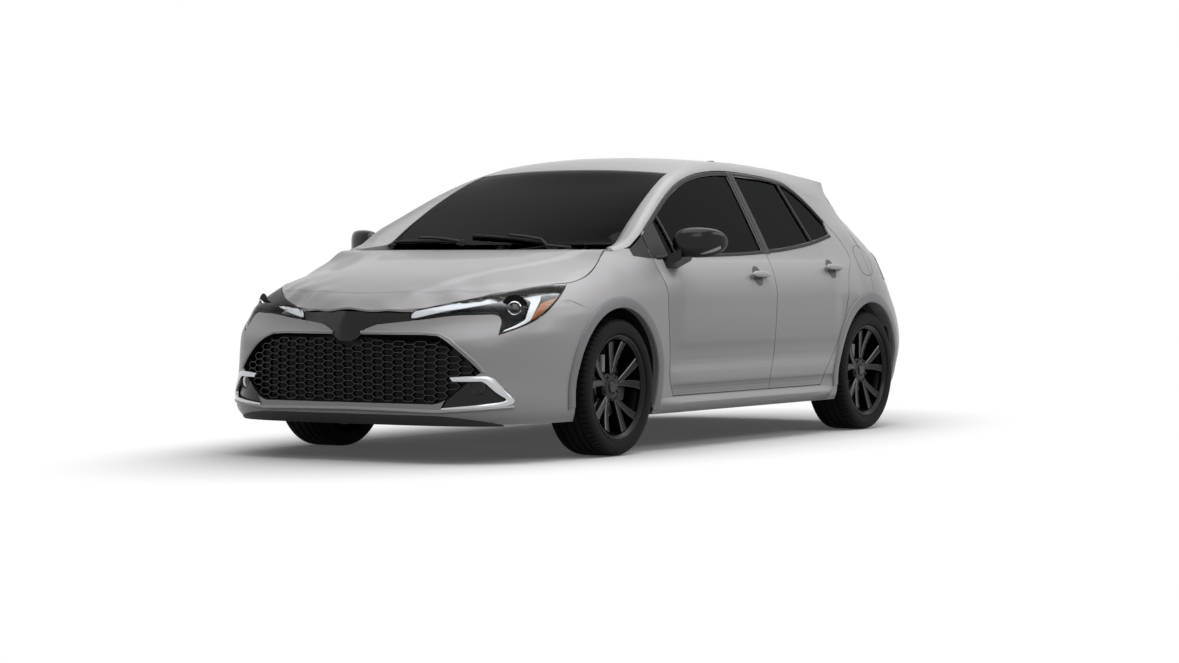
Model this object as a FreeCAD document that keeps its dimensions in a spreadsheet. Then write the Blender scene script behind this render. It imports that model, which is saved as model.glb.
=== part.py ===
import FreeCAD, Part
import os
from math import sin, cos, pi, radians, sqrt
from FreeCAD import Vector, Placement, Rotation

doc = FreeCAD.newDocument("hatchback")
sheet = doc.addObject("Spreadsheet::Sheet", "sizes")

# Driving sizes of the car, millimetres and degrees.
# Frame: x forward, y to the car's left, z up, the ground at zero.
SIZES = [
    ("half_wide", 895.0, "half of the body's greatest width"),
    ("front_axle", 1225.0, "front axle, forward of the middle"),
    ("rear_axle_x", -1415.0, "rear axle, behind the middle"),
    ("half_track", 765.0, "wheel's middle plane from the car's middle plane"),
    ("axle_height", 318.6, "wheel centres above the ground"),
    ("tyre_radius", 318.5, "outer radius of the tyre"),
    ("tyre_width", 225.0, "tyre section width"),
    ("rim_radius", 241.0, "outer radius of the rim's flange"),
    ("rim_width", 204.0, "rim over its flanges"),
    ("hub_radius", 72.0, "middle boss of the rim"),
    ("bolt_circle", 57.15, "radius of the wheel bolt circle"),
    ("bolt_hole", 14.0, "wheel bolt hole diameter"),
    ("centre_bore", 60.0, "rim's centre bore diameter"),
    ("disc_radius_front", 150.0, "front brake disc radius"),
    ("disc_thick", 24.0, "brake disc thickness"),
    ("arch_front", 368.0, "front wheel arch radius"),
    ("arch_rear", 366.0, "rear wheel arch radius"),
    ("panel_gap", 5.0, "gap between a moving panel and its neighbours"),
    ("seat_gap", 0.3, "gap between two seated pieces"),
    ("panel_thick", 28.0, "thickness of fenders, bumpers and roof with their inner panels"),
    ("door_inner", 740.0, "inner faces of doors and sills from the middle plane"),
    ("frame_depth", 50.0, "depth of window frames and pillars"),
    ("lap_depth", 12.0, "depth of a door's outer skin over its inner box"),
    ("lap_width", 26.0, "how far a door's skin laps over its opening"),
    ("step_depth", 58.0, "depth past which a door's inner box steps in"),
    ("step_width", 26.0, "how far a door's inner box steps in, so that it clears the body as it swings"),
    ("glass_thick", 5.0, "thickness of the glass panes"),
    ("sill_height", 262.0, "lower edge of the doors"),
    ("skirt_height", 176.0, "lower edge of the sills"),
    ("floor_height", 205.0, "upper face of the floor"),
    ("floor_thick", 25.0, "thickness of the floor"),
    ("engine_long", 560.0, "engine and gearbox, along the car"),
    ("engine_wide", 780.0, "engine and gearbox, across the car"),
    ("engine_high", 430.0, "engine and gearbox height"),
    ("tank_long", 420.0, "fuel tank along the car"),
    ("tank_wide", 900.0, "fuel tank across the car"),
    ("tank_high", 110.0, "fuel tank height"),
    ("wheel_rim_radius", 185.0, "steering wheel radius"),
    ("wheel_grip", 15.0, "steering wheel grip radius"),
    ("column_tilt", 24.0, "steering column above level, degrees"),
]

for row, (alias, value, note) in enumerate(SIZES, 1):
    sheet.set("A%d" % row, alias)
    sheet.set("B%d" % row, "%g" % value)
    sheet.set("C%d" % row, note)
    sheet.setAlias("B%d" % row, alias)
doc.recompute()


def size(alias):
    """Driving size from the sheet."""
    return float(sheet.get(alias))


HALF = size("half_wide")
FRONT = size("front_axle")
REAR = size("rear_axle_x")
AXLE_Z = size("axle_height")
GAP = size("panel_gap")
SEAT = size("seat_gap")
THICK = size("panel_thick")
INNER = size("door_inner")
FRAME = size("frame_depth")
SILL = size("sill_height")
SKIRT = size("skirt_height")


def curve(points):
    """Smooth monotone curve through (position, value) points, level beyond its ends."""
    pts = sorted(points)
    n = len(pts)
    pos = [p[0] for p in pts]
    val = [p[1] for p in pts]
    slope = [(val[i + 1] - val[i]) / (pos[i + 1] - pos[i]) for i in range(n - 1)]
    tangent = [slope[0]] + [0.0] * (n - 2) + [slope[-1]]
    for i in range(1, n - 1):
        if slope[i - 1] * slope[i] > 0:
            before = pos[i] - pos[i - 1]
            after = pos[i + 1] - pos[i]
            wa = 2 * after + before
            wb = after + 2 * before
            tangent[i] = (wa + wb) / (wa / slope[i - 1] + wb / slope[i])

    def at(x):
        if x <= pos[0]:
            return val[0]
        if x >= pos[-1]:
            return val[-1]
        i = 0
        while x > pos[i + 1]:
            i += 1
        span = pos[i + 1] - pos[i]
        u = (x - pos[i]) / span
        return ((1 + 2 * u) * (1 - u) ** 2 * val[i] + u * (1 - u) ** 2 * span * tangent[i]
                + u * u * (3 - 2 * u) * val[i + 1] + u * u * (u - 1) * span * tangent[i + 1])
    return at


# The body's outer form: short curves against height (z) or length (x).
TUCK = curve([(165, 62), (200, 44), (240, 31), (300, 25), (350, 20), (430, 9), (520, 3), (620, 0)])
SHOULDER_Z = curve([(-2200, 760), (-1415, 735), (-900, 725), (-300, 720), (840, 720), (1000, 715),
                    (1150, 705), (1437, 652), (1600, 640), (2000, 640)])
SHOULDER_BEND = curve([(-2200, .0078), (-900, .0078), (840, .0078), (1000, .0100), (1150, .0128),
                       (1437, .0130), (2000, .0130)])
WAIST = curve([(-1900, 10), (-1415, 3), (-1000, 0), (-300, 0), (500, 2), (900, 5), (1225, 6)])
NOSE = curve([(165, 2120), (200, 2150), (240, 2166), (400, 2172), (560, 2180), (620, 2181), (683, 2171),
              (720, 2125), (775, 2010), (840, 1800)])
TAIL = curve([(165, -2060), (230, -2120), (330, -2165), (450, -2183), (560, -2185), (650, -2178),
              (700, -2160), (760, -2140), (900, -2142), (977, -2112), (1061, -2040), (1145, -1970),
              (1230, -1898), (1300, -1838), (1360, -1790)])
NOSE_POWER = curve([(180, 4.4), (283, 4.2), (400, 3.7), (489, 3.5), (582, 3.35), (637, 3.0), (721, 2.75),
                    (800, 2.6)])
TAIL_POWER = curve([(190, 3.0), (290, 3.5), (414, 3.7), (490, 3.6), (615, 3.1), (690, 2.75), (813, 2.3),
                    (900, 2.15), (977, 2.1), (1300, 2.1)])
BEAK_ACROSS = curve([(0, 0), (120, .45), (300, 1.0), (500, 1.0), (600, .95), (750, .4), (830, .08), (880, 0)])
BEAK_UP = curve([(400, 0), (520, 10), (600, 60), (640, 75), (720, 75), (800, 60)])
ROOF_LINE = curve([(1017, 977), (800, 1090), (600, 1190), (400, 1284), (229, 1363), (100, 1402), (0, 1421),
                   (-150, 1435), (-300, 1438), (-600, 1434), (-900, 1422), (-1200, 1402), (-1450, 1377),
                   (-1650, 1350), (-1950, 1306)])
HOOD_LINE = curve([(2171, 683), (2140, 706), (2080, 742), (2000, 778), (1900, 815), (1800, 843),
                   (1600, 885), (1400, 918), (1200, 943), (981, 960)])
HOOD_SIDE = [(1035, 705, 962), (1095, 728, 958), (1167, 745, 951), (1226, 760, 914), (1326, 782, 864),
             (1415, 787, 828), (1525, 773, 803), (1714, 693, 782), (1917, 531, 742), (2078, 310, 687),
             (2146, 100, 681)]
HOOD_SIDE_Y = curve([(p[0], p[1]) for p in HOOD_SIDE])
HOOD_SIDE_Z = curve([(p[0], p[2]) for p in HOOD_SIDE])
TOP_OF_WALL = 930.0


def half_width(x, z):
    """Outer half width of the body wall: tucked in below, leaning in above its shoulder."""
    y = HALF - WAIST(x) - TUCK(z)
    start = SHOULDER_Z(x)
    bend = SHOULDER_BEND(x)
    if z > start:
        y -= bend * (min(z, TOP_OF_WALL) - start) ** 1.7
    if z > TOP_OF_WALL:
        lean = min(bend * 1.7 * (TOP_OF_WALL - start) ** .7, .75)
        y -= .93 * lean * (z - TOP_OF_WALL) + .00012 * (z - TOP_OF_WALL) ** 2
    return y


def turn(angle, power):
    """Unit superellipse, as (across, along)."""
    c = max(0.0, cos(angle))
    s = max(0.0, sin(angle))
    r = (c ** power + s ** power) ** (-1.0 / power)
    return c * r, s * r


def rear_turn(z):
    """Where the wall begins to turn in towards the tail."""
    return REAR + 300.0 * min(1.0, max(0.0, (z - 930.0) / 215.0))


def skin(c, z, t=0.0):
    """Point of the wall, t inside it; c is x along the side and past the axles turns round the ends,
    reaching the middle plane 1000 beyond the front axle and 1000 behind the rear one."""
    back = rear_turn(z)
    if back <= c <= FRONT:
        return Vector(c, half_width(c, z) - t, z)
    if c > FRONT:
        across, along = turn((c - FRONT) / 1000.0 * pi / 2, NOSE_POWER(z))
        x = FRONT + (NOSE(z) - FRONT - t) * along
        y = (half_width(min(x, 1700), z) - t) * across
        return Vector(x - BEAK_UP(z) * BEAK_ACROSS(y), y, z)
    across, along = turn((back - c) / (back - REAR + 1000.0) * pi / 2, TAIL_POWER(z))
    x = back - (back - TAIL(z) - t) * along
    return Vector(x, (half_width(max(x, -1900), z) - t) * across, z)


def steps(a, b, count):
    """Evenly spaced numbers from a to b."""
    return [a + (b - a) * i / (count - 1.0) for i in range(count)]


def surface(rows):
    """Smooth surface through rows of points."""
    s = Part.BSplineSurface()
    s.interpolate(rows)
    return s


def thick(outer, inner):
    """Solid between two smooth surfaces that have the same rows and columns of points."""
    a = surface(outer)
    b = surface(inner)
    faces = [a.toShape(), b.toShape()]
    ua, ub, va, vb = a.bounds()
    pa, pb, qa, qb = b.bounds()
    for at_a, at_b in ((a.uIso(ua), b.uIso(pa)), (a.uIso(ub), b.uIso(pb)),
                       (a.vIso(va), b.vIso(qa)), (a.vIso(vb), b.vIso(qb))):
        faces.append(Part.makeRuledSurface(at_a.toShape(), at_b.toShape()))
    shell = Part.Shell(faces)
    shell.sewShape()
    solid = Part.makeSolid(Part.Shell(shell.Faces))
    if solid.Volume < 0:
        solid.reverse()
    return solid


def mirrored(shape):
    """The same shape on the car's other side."""
    return shape.mirror(Vector(0, 0, 0), Vector(0, 1, 0))


def smooth_edge(points):
    """Straight edge through two points or smooth edge through more."""
    if len(points) == 2:
        return Part.makeLine(points[0], points[1])
    c = Part.BSplineCurve()
    c.interpolate(points)
    return c.toShape()


def tangents(run):
    """Directions of travel along a run of flat points."""
    out = []
    last = len(run) - 1
    for i in range(last + 1):
        a = run[max(0, i - 1)]
        b = run[min(last, i + 1)]
        dx = b[0] - a[0]
        dy = b[1] - a[1]
        length = sqrt(dx * dx + dy * dy)
        out.append((dx / length, dy / length))
    return out


def crossing(p, d, q, e):
    """Where the line from p along d meets the line from q along e."""
    det = d[0] * -e[1] + e[0] * d[1]
    if abs(det) < .05:
        return ((p[0] + q[0]) / 2, (p[1] + q[1]) / 2)
    k = ((q[0] - p[0]) * -e[1] + e[0] * (q[1] - p[1])) / det
    return (p[0] + k * d[0], p[1] + k * d[1])


def shifted(runs, distance):
    """Closed outline of runs moved outward; its corners stay where the moved sides cross."""
    flat = [p for run in runs for p in run[:-1]]
    area = sum(a[0] * b[1] - b[0] * a[1] for a, b in zip(flat, flat[1:] + flat[:1]))
    way = distance if area > 0 else -distance
    moved = []
    for run in runs:
        directions = tangents(run)
        moved.append(([(p[0] + way * d[1], p[1] - way * d[0]) for p, d in zip(run, directions)], directions))
    out = []
    for i, (run, directions) in enumerate(moved):
        before, turned = moved[i - 1]
        after, next_way = moved[(i + 1) % len(moved)]
        first = crossing(before[-1], turned[-1], run[0], directions[0])
        last = crossing(run[-1], directions[-1], after[0], next_way[0])
        out.append([first] + run[1:-1] + [last])
    return out


def prism(runs, plane, low, high, distance=0.0):
    """Block with the outline of runs, standing on plane "xz", "xy" or "yz" from low to high."""
    if distance:
        runs = shifted(runs, distance)
    place = {"xz": lambda p: Vector(p[0], low, p[1]),
             "xy": lambda p: Vector(p[0], p[1], low),
             "yz": lambda p: Vector(low, p[0], p[1])}[plane]
    way = {"xz": Vector(0, 1, 0), "xy": Vector(0, 0, 1), "yz": Vector(1, 0, 0)}[plane]
    wire = Part.Wire([smooth_edge([place(p) for p in run]) for run in runs])
    solid = Part.Face(wire).extrude(way * (high - low))
    if solid.Volume < 0:
        solid.reverse()
    return solid


def closed(points):
    """Outline with straight sides through the points."""
    return [[a, b] for a, b in zip(points, points[1:] + points[:1])]


def block(x0, x1, y0, y1, z0, z1):
    """Box between two corners."""
    return Part.makeBox(x1 - x0, y1 - y0, z1 - z0, Vector(x0, y0, z0))


def across(radius, x, z, y0, y1):
    """Cylinder that lies across the car."""
    return Part.makeCylinder(radius, y1 - y0, Vector(x, y0, z), Vector(0, 1, 0))


def biggest(shape):
    """Largest solid of a shape."""
    return sorted(shape.Solids, key=lambda s: s.Volume)[-1]


def keep(shape, least=2.0e4):
    """Solids of a shape above a least volume, as one shape."""
    solids = [s for s in shape.Solids if s.Volume > least]
    return solids[0] if len(solids) == 1 else Part.makeCompound(solids)


PARTS = []


def node(label, shape):
    """Adds one named piece."""
    place = shape.Placement
    feature = doc.addObject("Part::Feature", label)
    feature.Shape = shape
    feature.Label = label
    feature.Placement = place
    PARTS.append(feature)
    return feature


# Outlines of the left side, seen from the left, as (x, z) runs.
WINDOW_TOP = [(984, 969), (857, 1032), (677, 1116), (480, 1206), (298, 1276), (153, 1315), (16, 1341),
              (-119, 1356), (-250, 1363), (-364, 1364), (-502, 1359), (-647, 1350), (-817, 1335),
              (-918, 1313), (-983, 1280), (-1053, 1229), (-1112, 1170), (-1158, 1118), (-1204, 1066)]
HEAD = curve([(x, z) for x, z in WINDOW_TOP])
BELT = curve([(984, 938), (834, 926), (500, 935), (0, 945), (-441, 964), (-850, 1000), (-1096, 1038), (-1230, 1060)])
SPLIT = [(-272, SILL), (-300, 605), (-330, 972), (-362, 1364)]


DOOR_FRONT = [(845, HEAD(845)), (845, 940), (842, 900), (830, 850), (808, 794), (799, 685), (779, 504), (741, 320),
              (706, SILL)]
DOOR_REAR = [(-1204, 1066), (-1237, 1021), (-1266, 945), (-1252, 905), (-1190, 850), (-1150, 790),
             (-1126, 714), (-1089, 613), (-1010, 484), (-931, 375), (-870, 290), (-852, SILL)]


def head_run(x_from, x_to, drop=0.0):
    """Window head line from one x to another, lowered by drop."""
    inside = [p for p in WINDOW_TOP if min(x_from, x_to) + 25 < p[0] < max(x_from, x_to) - 25]
    if x_from < x_to:
        inside = inside[::-1]
    return [(x, z - drop) for x, z in [(x_from, HEAD(x_from))] + inside + [(x_to, HEAD(x_to))]]


def split_run(off):
    """Line between the doors, moved along the car and ended a gap below the head line."""
    run = [(x + off, z) for x, z in SPLIT]
    return run[:-1] + [(run[-1][0], HEAD(run[-1][0]) - GAP)]


def front_door_outline():
    """Front door in side view; its rear side stands off the split by half a gap."""
    split = split_run(GAP / 2)
    front = [(845, HEAD(845) - GAP)] + DOOR_FRONT[1:]
    return [front, [front[-1], split[0]], split, head_run(split[-1][0], 845, GAP)]


def rear_door_outline():
    """Rear door in side view."""
    split = split_run(-GAP / 2)
    low = DOOR_REAR[2:]
    corner = [(-1204, 1066 - GAP)] + DOOR_REAR[1:3]
    return [split, head_run(split[-1][0], -1204, GAP), corner, low, [low[-1], split[0]]]


def front_glass_outline():
    """Front door's window opening: a narrow front light and the main light are one opening."""
    x0, x1 = 812, -306
    belt = [(x, BELT(x)) for x in (x0, 500, 150, x1)]
    rear = [(x1, BELT(x1)), (-318, 1149), (-336, HEAD(-336) - 22)]
    top = [(x, HEAD(x) - 22) for x in (-336, -100, 50, 250, 480, 677, x0)]
    return [belt, rear, top, [top[-1], belt[0]]]


def rear_glass_outline():
    """Rear door's window opening."""
    x0, x1 = -372, -1150
    belt = [(x, BELT(x)) for x in (x0, -600, -850, x1)]
    top = [(x, HEAD(x) - 24) for x in (-1150, -1057, -983, -918, -817, -600, -392)]
    return [belt, [belt[-1], top[0]], top, [top[-1], (-380, 1149), belt[0]]]


def wall_depth(c, z):
    """Depth of doors, sills and quarter panels behind their skin."""
    full = half_width(max(-1900.0, min(c, 1700.0)), z) - INNER
    share = min(1.0, max(0.0, (z - 880.0) / 110.0))
    return max(FRAME, full + (FRAME - full) * share)


def wall(cs, zs, start=0.0, depth=None, more=0.0):
    """Thick piece of the wall over ranges of c and z, as deep as the doors unless a depth is given."""
    outer = [[skin(c, z, start) for z in zs] for c in cs]
    inner = [[skin(c, z, more + (wall_depth(c, z) if depth is None else depth)) for z in zs] for c in cs]
    return thick(outer, inner)


WALL_Z = [165, 200, 240, 290, 350, 430, 520, 620, 700, 740, 780, 820, 860, 900, 930, 960, 1000, 1060, 1130, 1200,
          1260, 1320, 1380]


def door(outline, opening):
    """Door: as thick as the wall, its skin lapping over the box behind it, with the window cut through."""
    flat = [p[0] for run in outline for p in run]
    cs = steps(min(flat) - 30, max(flat) + 30, 22)
    leaf = wall(cs, WALL_Z).common(prism(outline, "xz", 400, 1000))
    behind = wall(cs, WALL_Z, size("lap_depth"), None, 20.0)
    behind = behind.cut(prism(outline, "xz", 300, 1100, -size("lap_width")))
    deeper = wall(cs, WALL_Z, size("step_depth"), None, 20.0)
    deeper = deeper.cut(prism(outline, "xz", 300, 1100, -size("lap_width") - size("step_width")))
    leaf = leaf.cut(behind).cut(deeper)
    return biggest(leaf.cut(prism(opening, "xz", 300, 1000)))


def pane(opening, inset=SEAT):
    """Glass that fills a window opening, a little behind the skin."""
    flat = [p[0] for run in opening for p in run]
    cs = steps(min(flat) - 20, max(flat) + 20, 14)
    zs = [z for z in WALL_Z if z > 890]
    sheet_of_glass = wall(cs, zs, 9.0, 9.0 + size("glass_thick"))
    return biggest(sheet_of_glass.common(prism(opening, "xz", 400, 1000, -inset)))


RAIL = [  # head or belt point (x, y, z), then the windscreen or roof edge point
    ((1096, 0, 947.5), (1060, 700, 964)),
    ((1040, 0, 957), (990, 685, 972)),
    ((984, 0, 969), (905, 655, 986)),
    ((857, 0, 1032), (775, 634, 1064)),
    ((677, 0, 1116), (600, 608, 1165)),
    ((480, 0, 1206), (412, 577, 1259)),
    ((298, 0, 1276), (262, 552, 1320)),
    ((153, 0, 1315), (130, 536, 1358)),
    ((16, 0, 1341), (5, 528, 1384)),
    ((-119, 0, 1356), (-125, 522, 1401)),
    ((-250, 0, 1364), (-255, 518, 1409)),
    ((-430, 0, 1364), (-433, 516, 1411)),
    ((-647, 0, 1355), (-650, 518, 1405)),
    ((-817, 0, 1338), (-820, 522, 1396)),
    ((-983, 0, 1300), (-1000, 530, 1383)),
    ((-1122, 0, 1250), (-1150, 540, 1368)),
    ((-1260, 0, 1225), (-1300, 552, 1352)),
    ((-1380, 0, 1215), (-1400, 561, 1340)),
    ((-1440, 0, 1215), (-1461, 566, 1332)),
]


STATIONS = [i / 2.0 for i in range(2 * len(RAIL) - 1)]
FOOT_X = curve([(i, d[0]) for i, (d, e) in enumerate(RAIL)])
FOOT_Z = curve([(i, d[2]) for i, (d, e) in enumerate(RAIL)])
EDGE_X = curve([(i, e[0]) for i, (d, e) in enumerate(RAIL)])
EDGE_Y = curve([(i, e[1]) for i, (d, e) in enumerate(RAIL)])
EDGE_Z = curve([(i, e[2]) for i, (d, e) in enumerate(RAIL)])


def rail_rows(depth):
    """Rows of points over the pillar and roof rail, from the wall to the roof's edge."""
    rows = []
    for k in STATIONS:
        foot = skin(FOOT_X(k), FOOT_Z(k))
        up = skin(FOOT_X(k), FOOT_Z(k) + 10.0) - foot
        up.normalize()
        end = Vector(EDGE_X(k), EDGE_Y(k), EDGE_Z(k))
        knee = foot + up * ((end - foot).Length * .42)
        row = []
        for u in (0, .2, .4, .6, .8, 1.0):
            p = foot * (1 - u) ** 2 + knee * 2 * u * (1 - u) + end * u * u
            row.append(p + Vector(0, -depth * cos(u * pi / 2), -depth * sin(u * pi / 2) ** 1.6))
        rows.append(row)
    return rows


def rail_piece():
    """Pillar and roof rail of the left side."""
    piece = thick(rail_rows(0.0), rail_rows(FRAME * .72))
    return biggest(piece.cut(prism(hood_plan(), "xy", 500, 1100, GAP + 4)))


def foot_run(x_from, x_to, drop):
    """Line on which the pillar and rail stand, from front to rear, lowered by drop."""
    run = [(FOOT_X(k), FOOT_Z(k) - drop) for k in STATIONS if x_to < FOOT_X(k) < x_from]
    first = [k / 50.0 for k in range(50 * (len(RAIL) - 1) + 1)]
    start = min(first, key=lambda k: abs(FOOT_X(k) - x_from))
    stop = min(first, key=lambda k: abs(FOOT_X(k) - x_to))
    return [(x_from, FOOT_Z(start) - drop)] + run + [(x_to, FOOT_Z(stop) - drop)]


LAMP_ANGLE = radians(33.0)
# Lamp outline seen along the lamp's own direction: (across, z) runs.
LAMP = [[(-898, 636), (-890, 664), (-872, 685)], [(-872, 685), (-735, 716), (-599, 742), (-470, 764), (-352, 782), (-187, 804)],
        [(-187, 804), (-203, 766), (-230, 728), (-294, 663), (-366, 620), (-423, 598), (-499, 573)],
        [(-499, 573), (-484, 628)], [(-484, 628), (-494, 653), (-550, 663), (-714, 656), (-898, 636)]]
FOG = [[(-681, 392), (-554, 392)], [(-554, 392), (-509, 364), (-432, 293)], [(-432, 293), (-474, 262)],
       [(-474, 262), (-600, 250), (-762, 236)], [(-762, 236), (-681, 392)]]
GRILLE_LEFT = [(440, 573), (508, 543), (565, 500), (615, 455), (658, 407)]
GRILLE_LOW = [(658, 407), (607, 369), (562, 326), (512, 285), (441, 266)]


def mirror_run(run):
    """Run of (y, z) points on the other side, in backward order."""
    return [(-y, z) for y, z in reversed(run)]


GRILLE = [GRILLE_LEFT, GRILLE_LOW, [(441, 266), (-441, 266)], mirror_run(GRILLE_LOW), mirror_run(GRILLE_LEFT),
          [(-440, 573), (440, 573)]]
GARNISH_LEFT = [(305, 690), (305, 634), (150, 617), (95, 596), (70, 552)]
GARNISH = closed(GARNISH_LEFT + [(-y, z) for y, z in reversed(GARNISH_LEFT)])
FENDER_LINE = [(1428, 640), (1473, 669), (1562, 707), (1640, 752)]
HATCH_LEFT = [(640, 1395), (644, 1215), (673, 1080), (690, 985), (560, 965), (545, 800), (520, 690), (470, 648)]
REAR_LAMP = [(574, 945), (840, 945), (840, 812), (562, 812)]
LAMP_FRONT = -1655.0


def slanted(runs, low, high, distance=0.0):
    """Block over an outline seen along the lamp's direction."""
    solid = prism(runs, "yz", low, high, distance)
    solid.rotate(Vector(0, 0, 0), Vector(0, 0, 1), LAMP_ANGLE * 180 / pi)
    return solid


def hood_height(x, y):
    """Height of the hood's outer face."""
    share = min(1.15, abs(y) / HOOD_SIDE_Y(x))
    middle = HOOD_LINE(x)
    return middle + (HOOD_SIDE_Z(x) - middle) * (.35 * share ** 2 + .65 * share ** 4)


def side_openings(gap):
    """Room for both left doors: their lapping skins and, deeper, their inner boxes."""
    outlines = (front_door_outline(), rear_door_outline())
    deep = size("lap_depth") + gap
    lap = wall(steps(-1330, 900, 36), WALL_Z, -6.0, deep)
    both = prism(outlines[0], "xz", 400, 1000, gap).fuse(prism(outlines[1], "xz", 400, 1000, gap))
    return [lap.common(both)] + [prism(o, "xz", 400, 1000, gap - size("lap_width")) for o in outlines]


def quarter_limit():
    """Region behind the rear door that belongs to the body side, in side view."""
    top = foot_run(-1375, -1379, SEAT)[-1][1]
    return closed([(-1440, top), (-1440, SKIRT), (-1700, SKIRT), (-1700, 640), (-1800, 740), (-1860, 806), (-2200, 806),
                   (-2200, top)])


def side_frame():
    """Left side of the body: sill, hinge and middle pillars and quarter panel round the door openings."""
    cs = steps(-1475, 905, 36)
    front = wall(cs, WALL_Z)
    head = foot_run(905, -1440, SEAT)
    limit = [head, [head[-1], (-1440, SKIRT)],
             [(-1440, SKIRT), (905, SKIRT)], [(905, SKIRT), head[0]]]
    front = front.common(prism(limit, "xz", 300, 1000))
    behind_fender = closed([(1000, 232), (700, 232), (730, 320), (790, 640), (818, 840), (1000, 840)])
    front = front.cut(prism(behind_fender, "xz", 790, 1000)).cut(block(700, 1000, 300, 1000, 840, 1200))
    front = front.cut(prism(fender_outline(), "xz", INNER + 30, 1000, SEAT))
    front = front.cut(thick(rail_rows(-4.0), rail_rows(FRAME * .72 + SEAT)))
    for room in side_openings(GAP):
        front = front.cut(room)
    return biggest(front)


def quarter():
    """Rear quarter of the left side, from the wheel arch to the hatch and tail lamp."""
    cs = [-1440, -1480, -1530, -1590, -1650, -1710, -1770, -1830, -1890, -1950, -2010, -2070]
    zs = [z for z in WALL_Z if z < 1250] + [1230]
    piece = wall(cs, sorted(set(zs)), 0.0, 70.0)
    piece = piece.common(prism(quarter_limit(), "xz", 300, 1000))
    piece = piece.cut(prism(HATCH_RUNS, "yz", -2300, -1400, GAP))
    return piece.cut(prism(closed(REAR_LAMP), "yz", -2300, LAMP_FRONT, 1.0))


WINDOW_RUNS = closed([(500, 1232), (560, 1160), (590, 1080), (600, 1015), (-600, 1015), (-590, 1080), (-560, 1160),
                      (-500, 1232)])
HATCH_RUNS = closed(HATCH_LEFT + [(-y, z) for y, z in reversed(HATCH_LEFT)])


def arch_cut(x, radius):
    """Wheel arch cylinder of the left side."""
    return across(radius, x, AXLE_Z, 560, 1000)


def door_seals():
    """Seal strips on the sill that the closed left doors rest against."""
    near = size("lap_depth") + SEAT
    front = wall(steps(-120, 560, 40), [SILL + 9, SILL + 15, SILL + 21], near, size("lap_depth") + GAP + 2)
    rear = wall(steps(-760, -420, 34), [SILL + 9, SILL + 15, SILL + 21], near, size("lap_depth") + GAP + 2)
    return front.fuse(rear)


def body_side():
    """Whole left body side as one solid."""
    whole = side_frame().fuse(quarter())
    whole = whole.cut(arch_cut(REAR, size("arch_rear")))
    whole = whole.cut(across(394 + SEAT, FRONT, AXLE_Z, 0, 1000))
    return biggest(whole.fuse(door_seals()).removeSplitter())


SCREEN_MIDDLE = curve([(905, 1003), (775, 870), (600, 683), (412, 480), (262, 312), (206, 233)])
ROOF_MIDDLE = curve([(204, 231), (112, 130), (10, 20), (-125, -120), (-500, -500), (-1100, -1105), (-1455, -1478)])


def crowned_row(centre_x, centre_z, edge, sink, seat=SEAT):
    """Row of points across the car through a middle point and two like edge points."""
    ex, ey, ez = edge
    row = []
    for v in (-1, -.85, -.68, -.5, -.25, 0, .25, .5, .68, .85, 1):
        z = centre_z + (ez - centre_z) * abs(v) ** 2.2
        row.append(Vector(centre_x + (ex - centre_x) * v * v, (ey - seat) * v, z - sink))
    return row


TOP_OF_SCREEN = 6.42
END_OF_ROOF = float(len(RAIL) - 1)


def windscreen_piece():
    """Windscreen pane, bowed both ways."""
    outer = []
    for k in [k for k in STATIONS if 206 < EDGE_X(k) < 906] + [TOP_OF_SCREEN]:
        cx = SCREEN_MIDDLE(EDGE_X(k))
        outer.append(crowned_row(cx, ROOF_LINE(cx), (EDGE_X(k), EDGE_Y(k) - .7, EDGE_Z(k)), 4.0))
    inner = [[p + Vector(-2.6, 0, -5.4) for p in row] for row in outer]
    return thick(outer, inner)


def roof_piece():
    """Roof panel with its inner panel and lining."""
    outer = []
    for k in [TOP_OF_SCREEN + .03] + [k for k in STATIONS if EDGE_X(k) < 200 and k < END_OF_ROOF] + [END_OF_ROOF]:
        cx = ROOF_MIDDLE(EDGE_X(k))
        outer.append(crowned_row(cx, ROOF_LINE(cx), (EDGE_X(k), EDGE_Y(k), EDGE_Z(k)), 0.0))
    inner = [[p + Vector(0, 0, -THICK) for p in row] for row in outer]
    return thick(outer, inner)


def hood_plan():
    """Hood in plan: its front follows the lamps and its sides run back to the screen."""
    side = [(x, y) for x, y, z in HOOD_SIDE[1:7]]
    front = [(1525, 773), (1620, 735), (1714, 693), (1820, 618), (1917, 531), (2010, 425), (2078, 310), (2125, 190), (2150, 90), (2158, 0)]
    left = [(1095, 728), (1060, 500), (1040, 250), (1035, 0)]
    rear = left + [(x, -y) for x, y in reversed(left[:-1])]
    nose = front + [(x, -y) for x, y in reversed(front[:-1])]
    return [side, nose, [(x, -y) for x, y in reversed(side)], rear[::-1]]


def hood_rows(extra, drop):
    """Rows of points over the hood, moved down; the hood thins towards its front edge."""
    xs = [1000, 1060, 1120, 1180, 1240, 1310, 1400, 1500, 1620, 1740, 1860, 1960, 2030, 2080, 2120, 2150, 2175]
    ys = [-840, -780, -720, -650, -560, -450, -300, -150, 0, 150, 300, 450, 560, 650, 720, 780, 840]
    rows = []
    for x in xs:
        thin = curve([(1990, 1.0), (2120, .3)])(x)
        rows.append([Vector(x, y, hood_height(x, y) - extra - drop * thin) for y in ys])
    return rows


def hood_piece():
    """Hood: a crowned panel with an inner panel."""
    return biggest(thick(hood_rows(0, 0), hood_rows(0, THICK)).common(prism(hood_plan(), "xy", 500, 1100)))


def hood_room():
    """Space that the closed hood needs, with its gap."""
    room = thick(hood_rows(-60, 0), hood_rows(GAP, THICK))
    return biggest(room.common(prism(hood_plan(), "xy", 500, 1200, GAP)))


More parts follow.
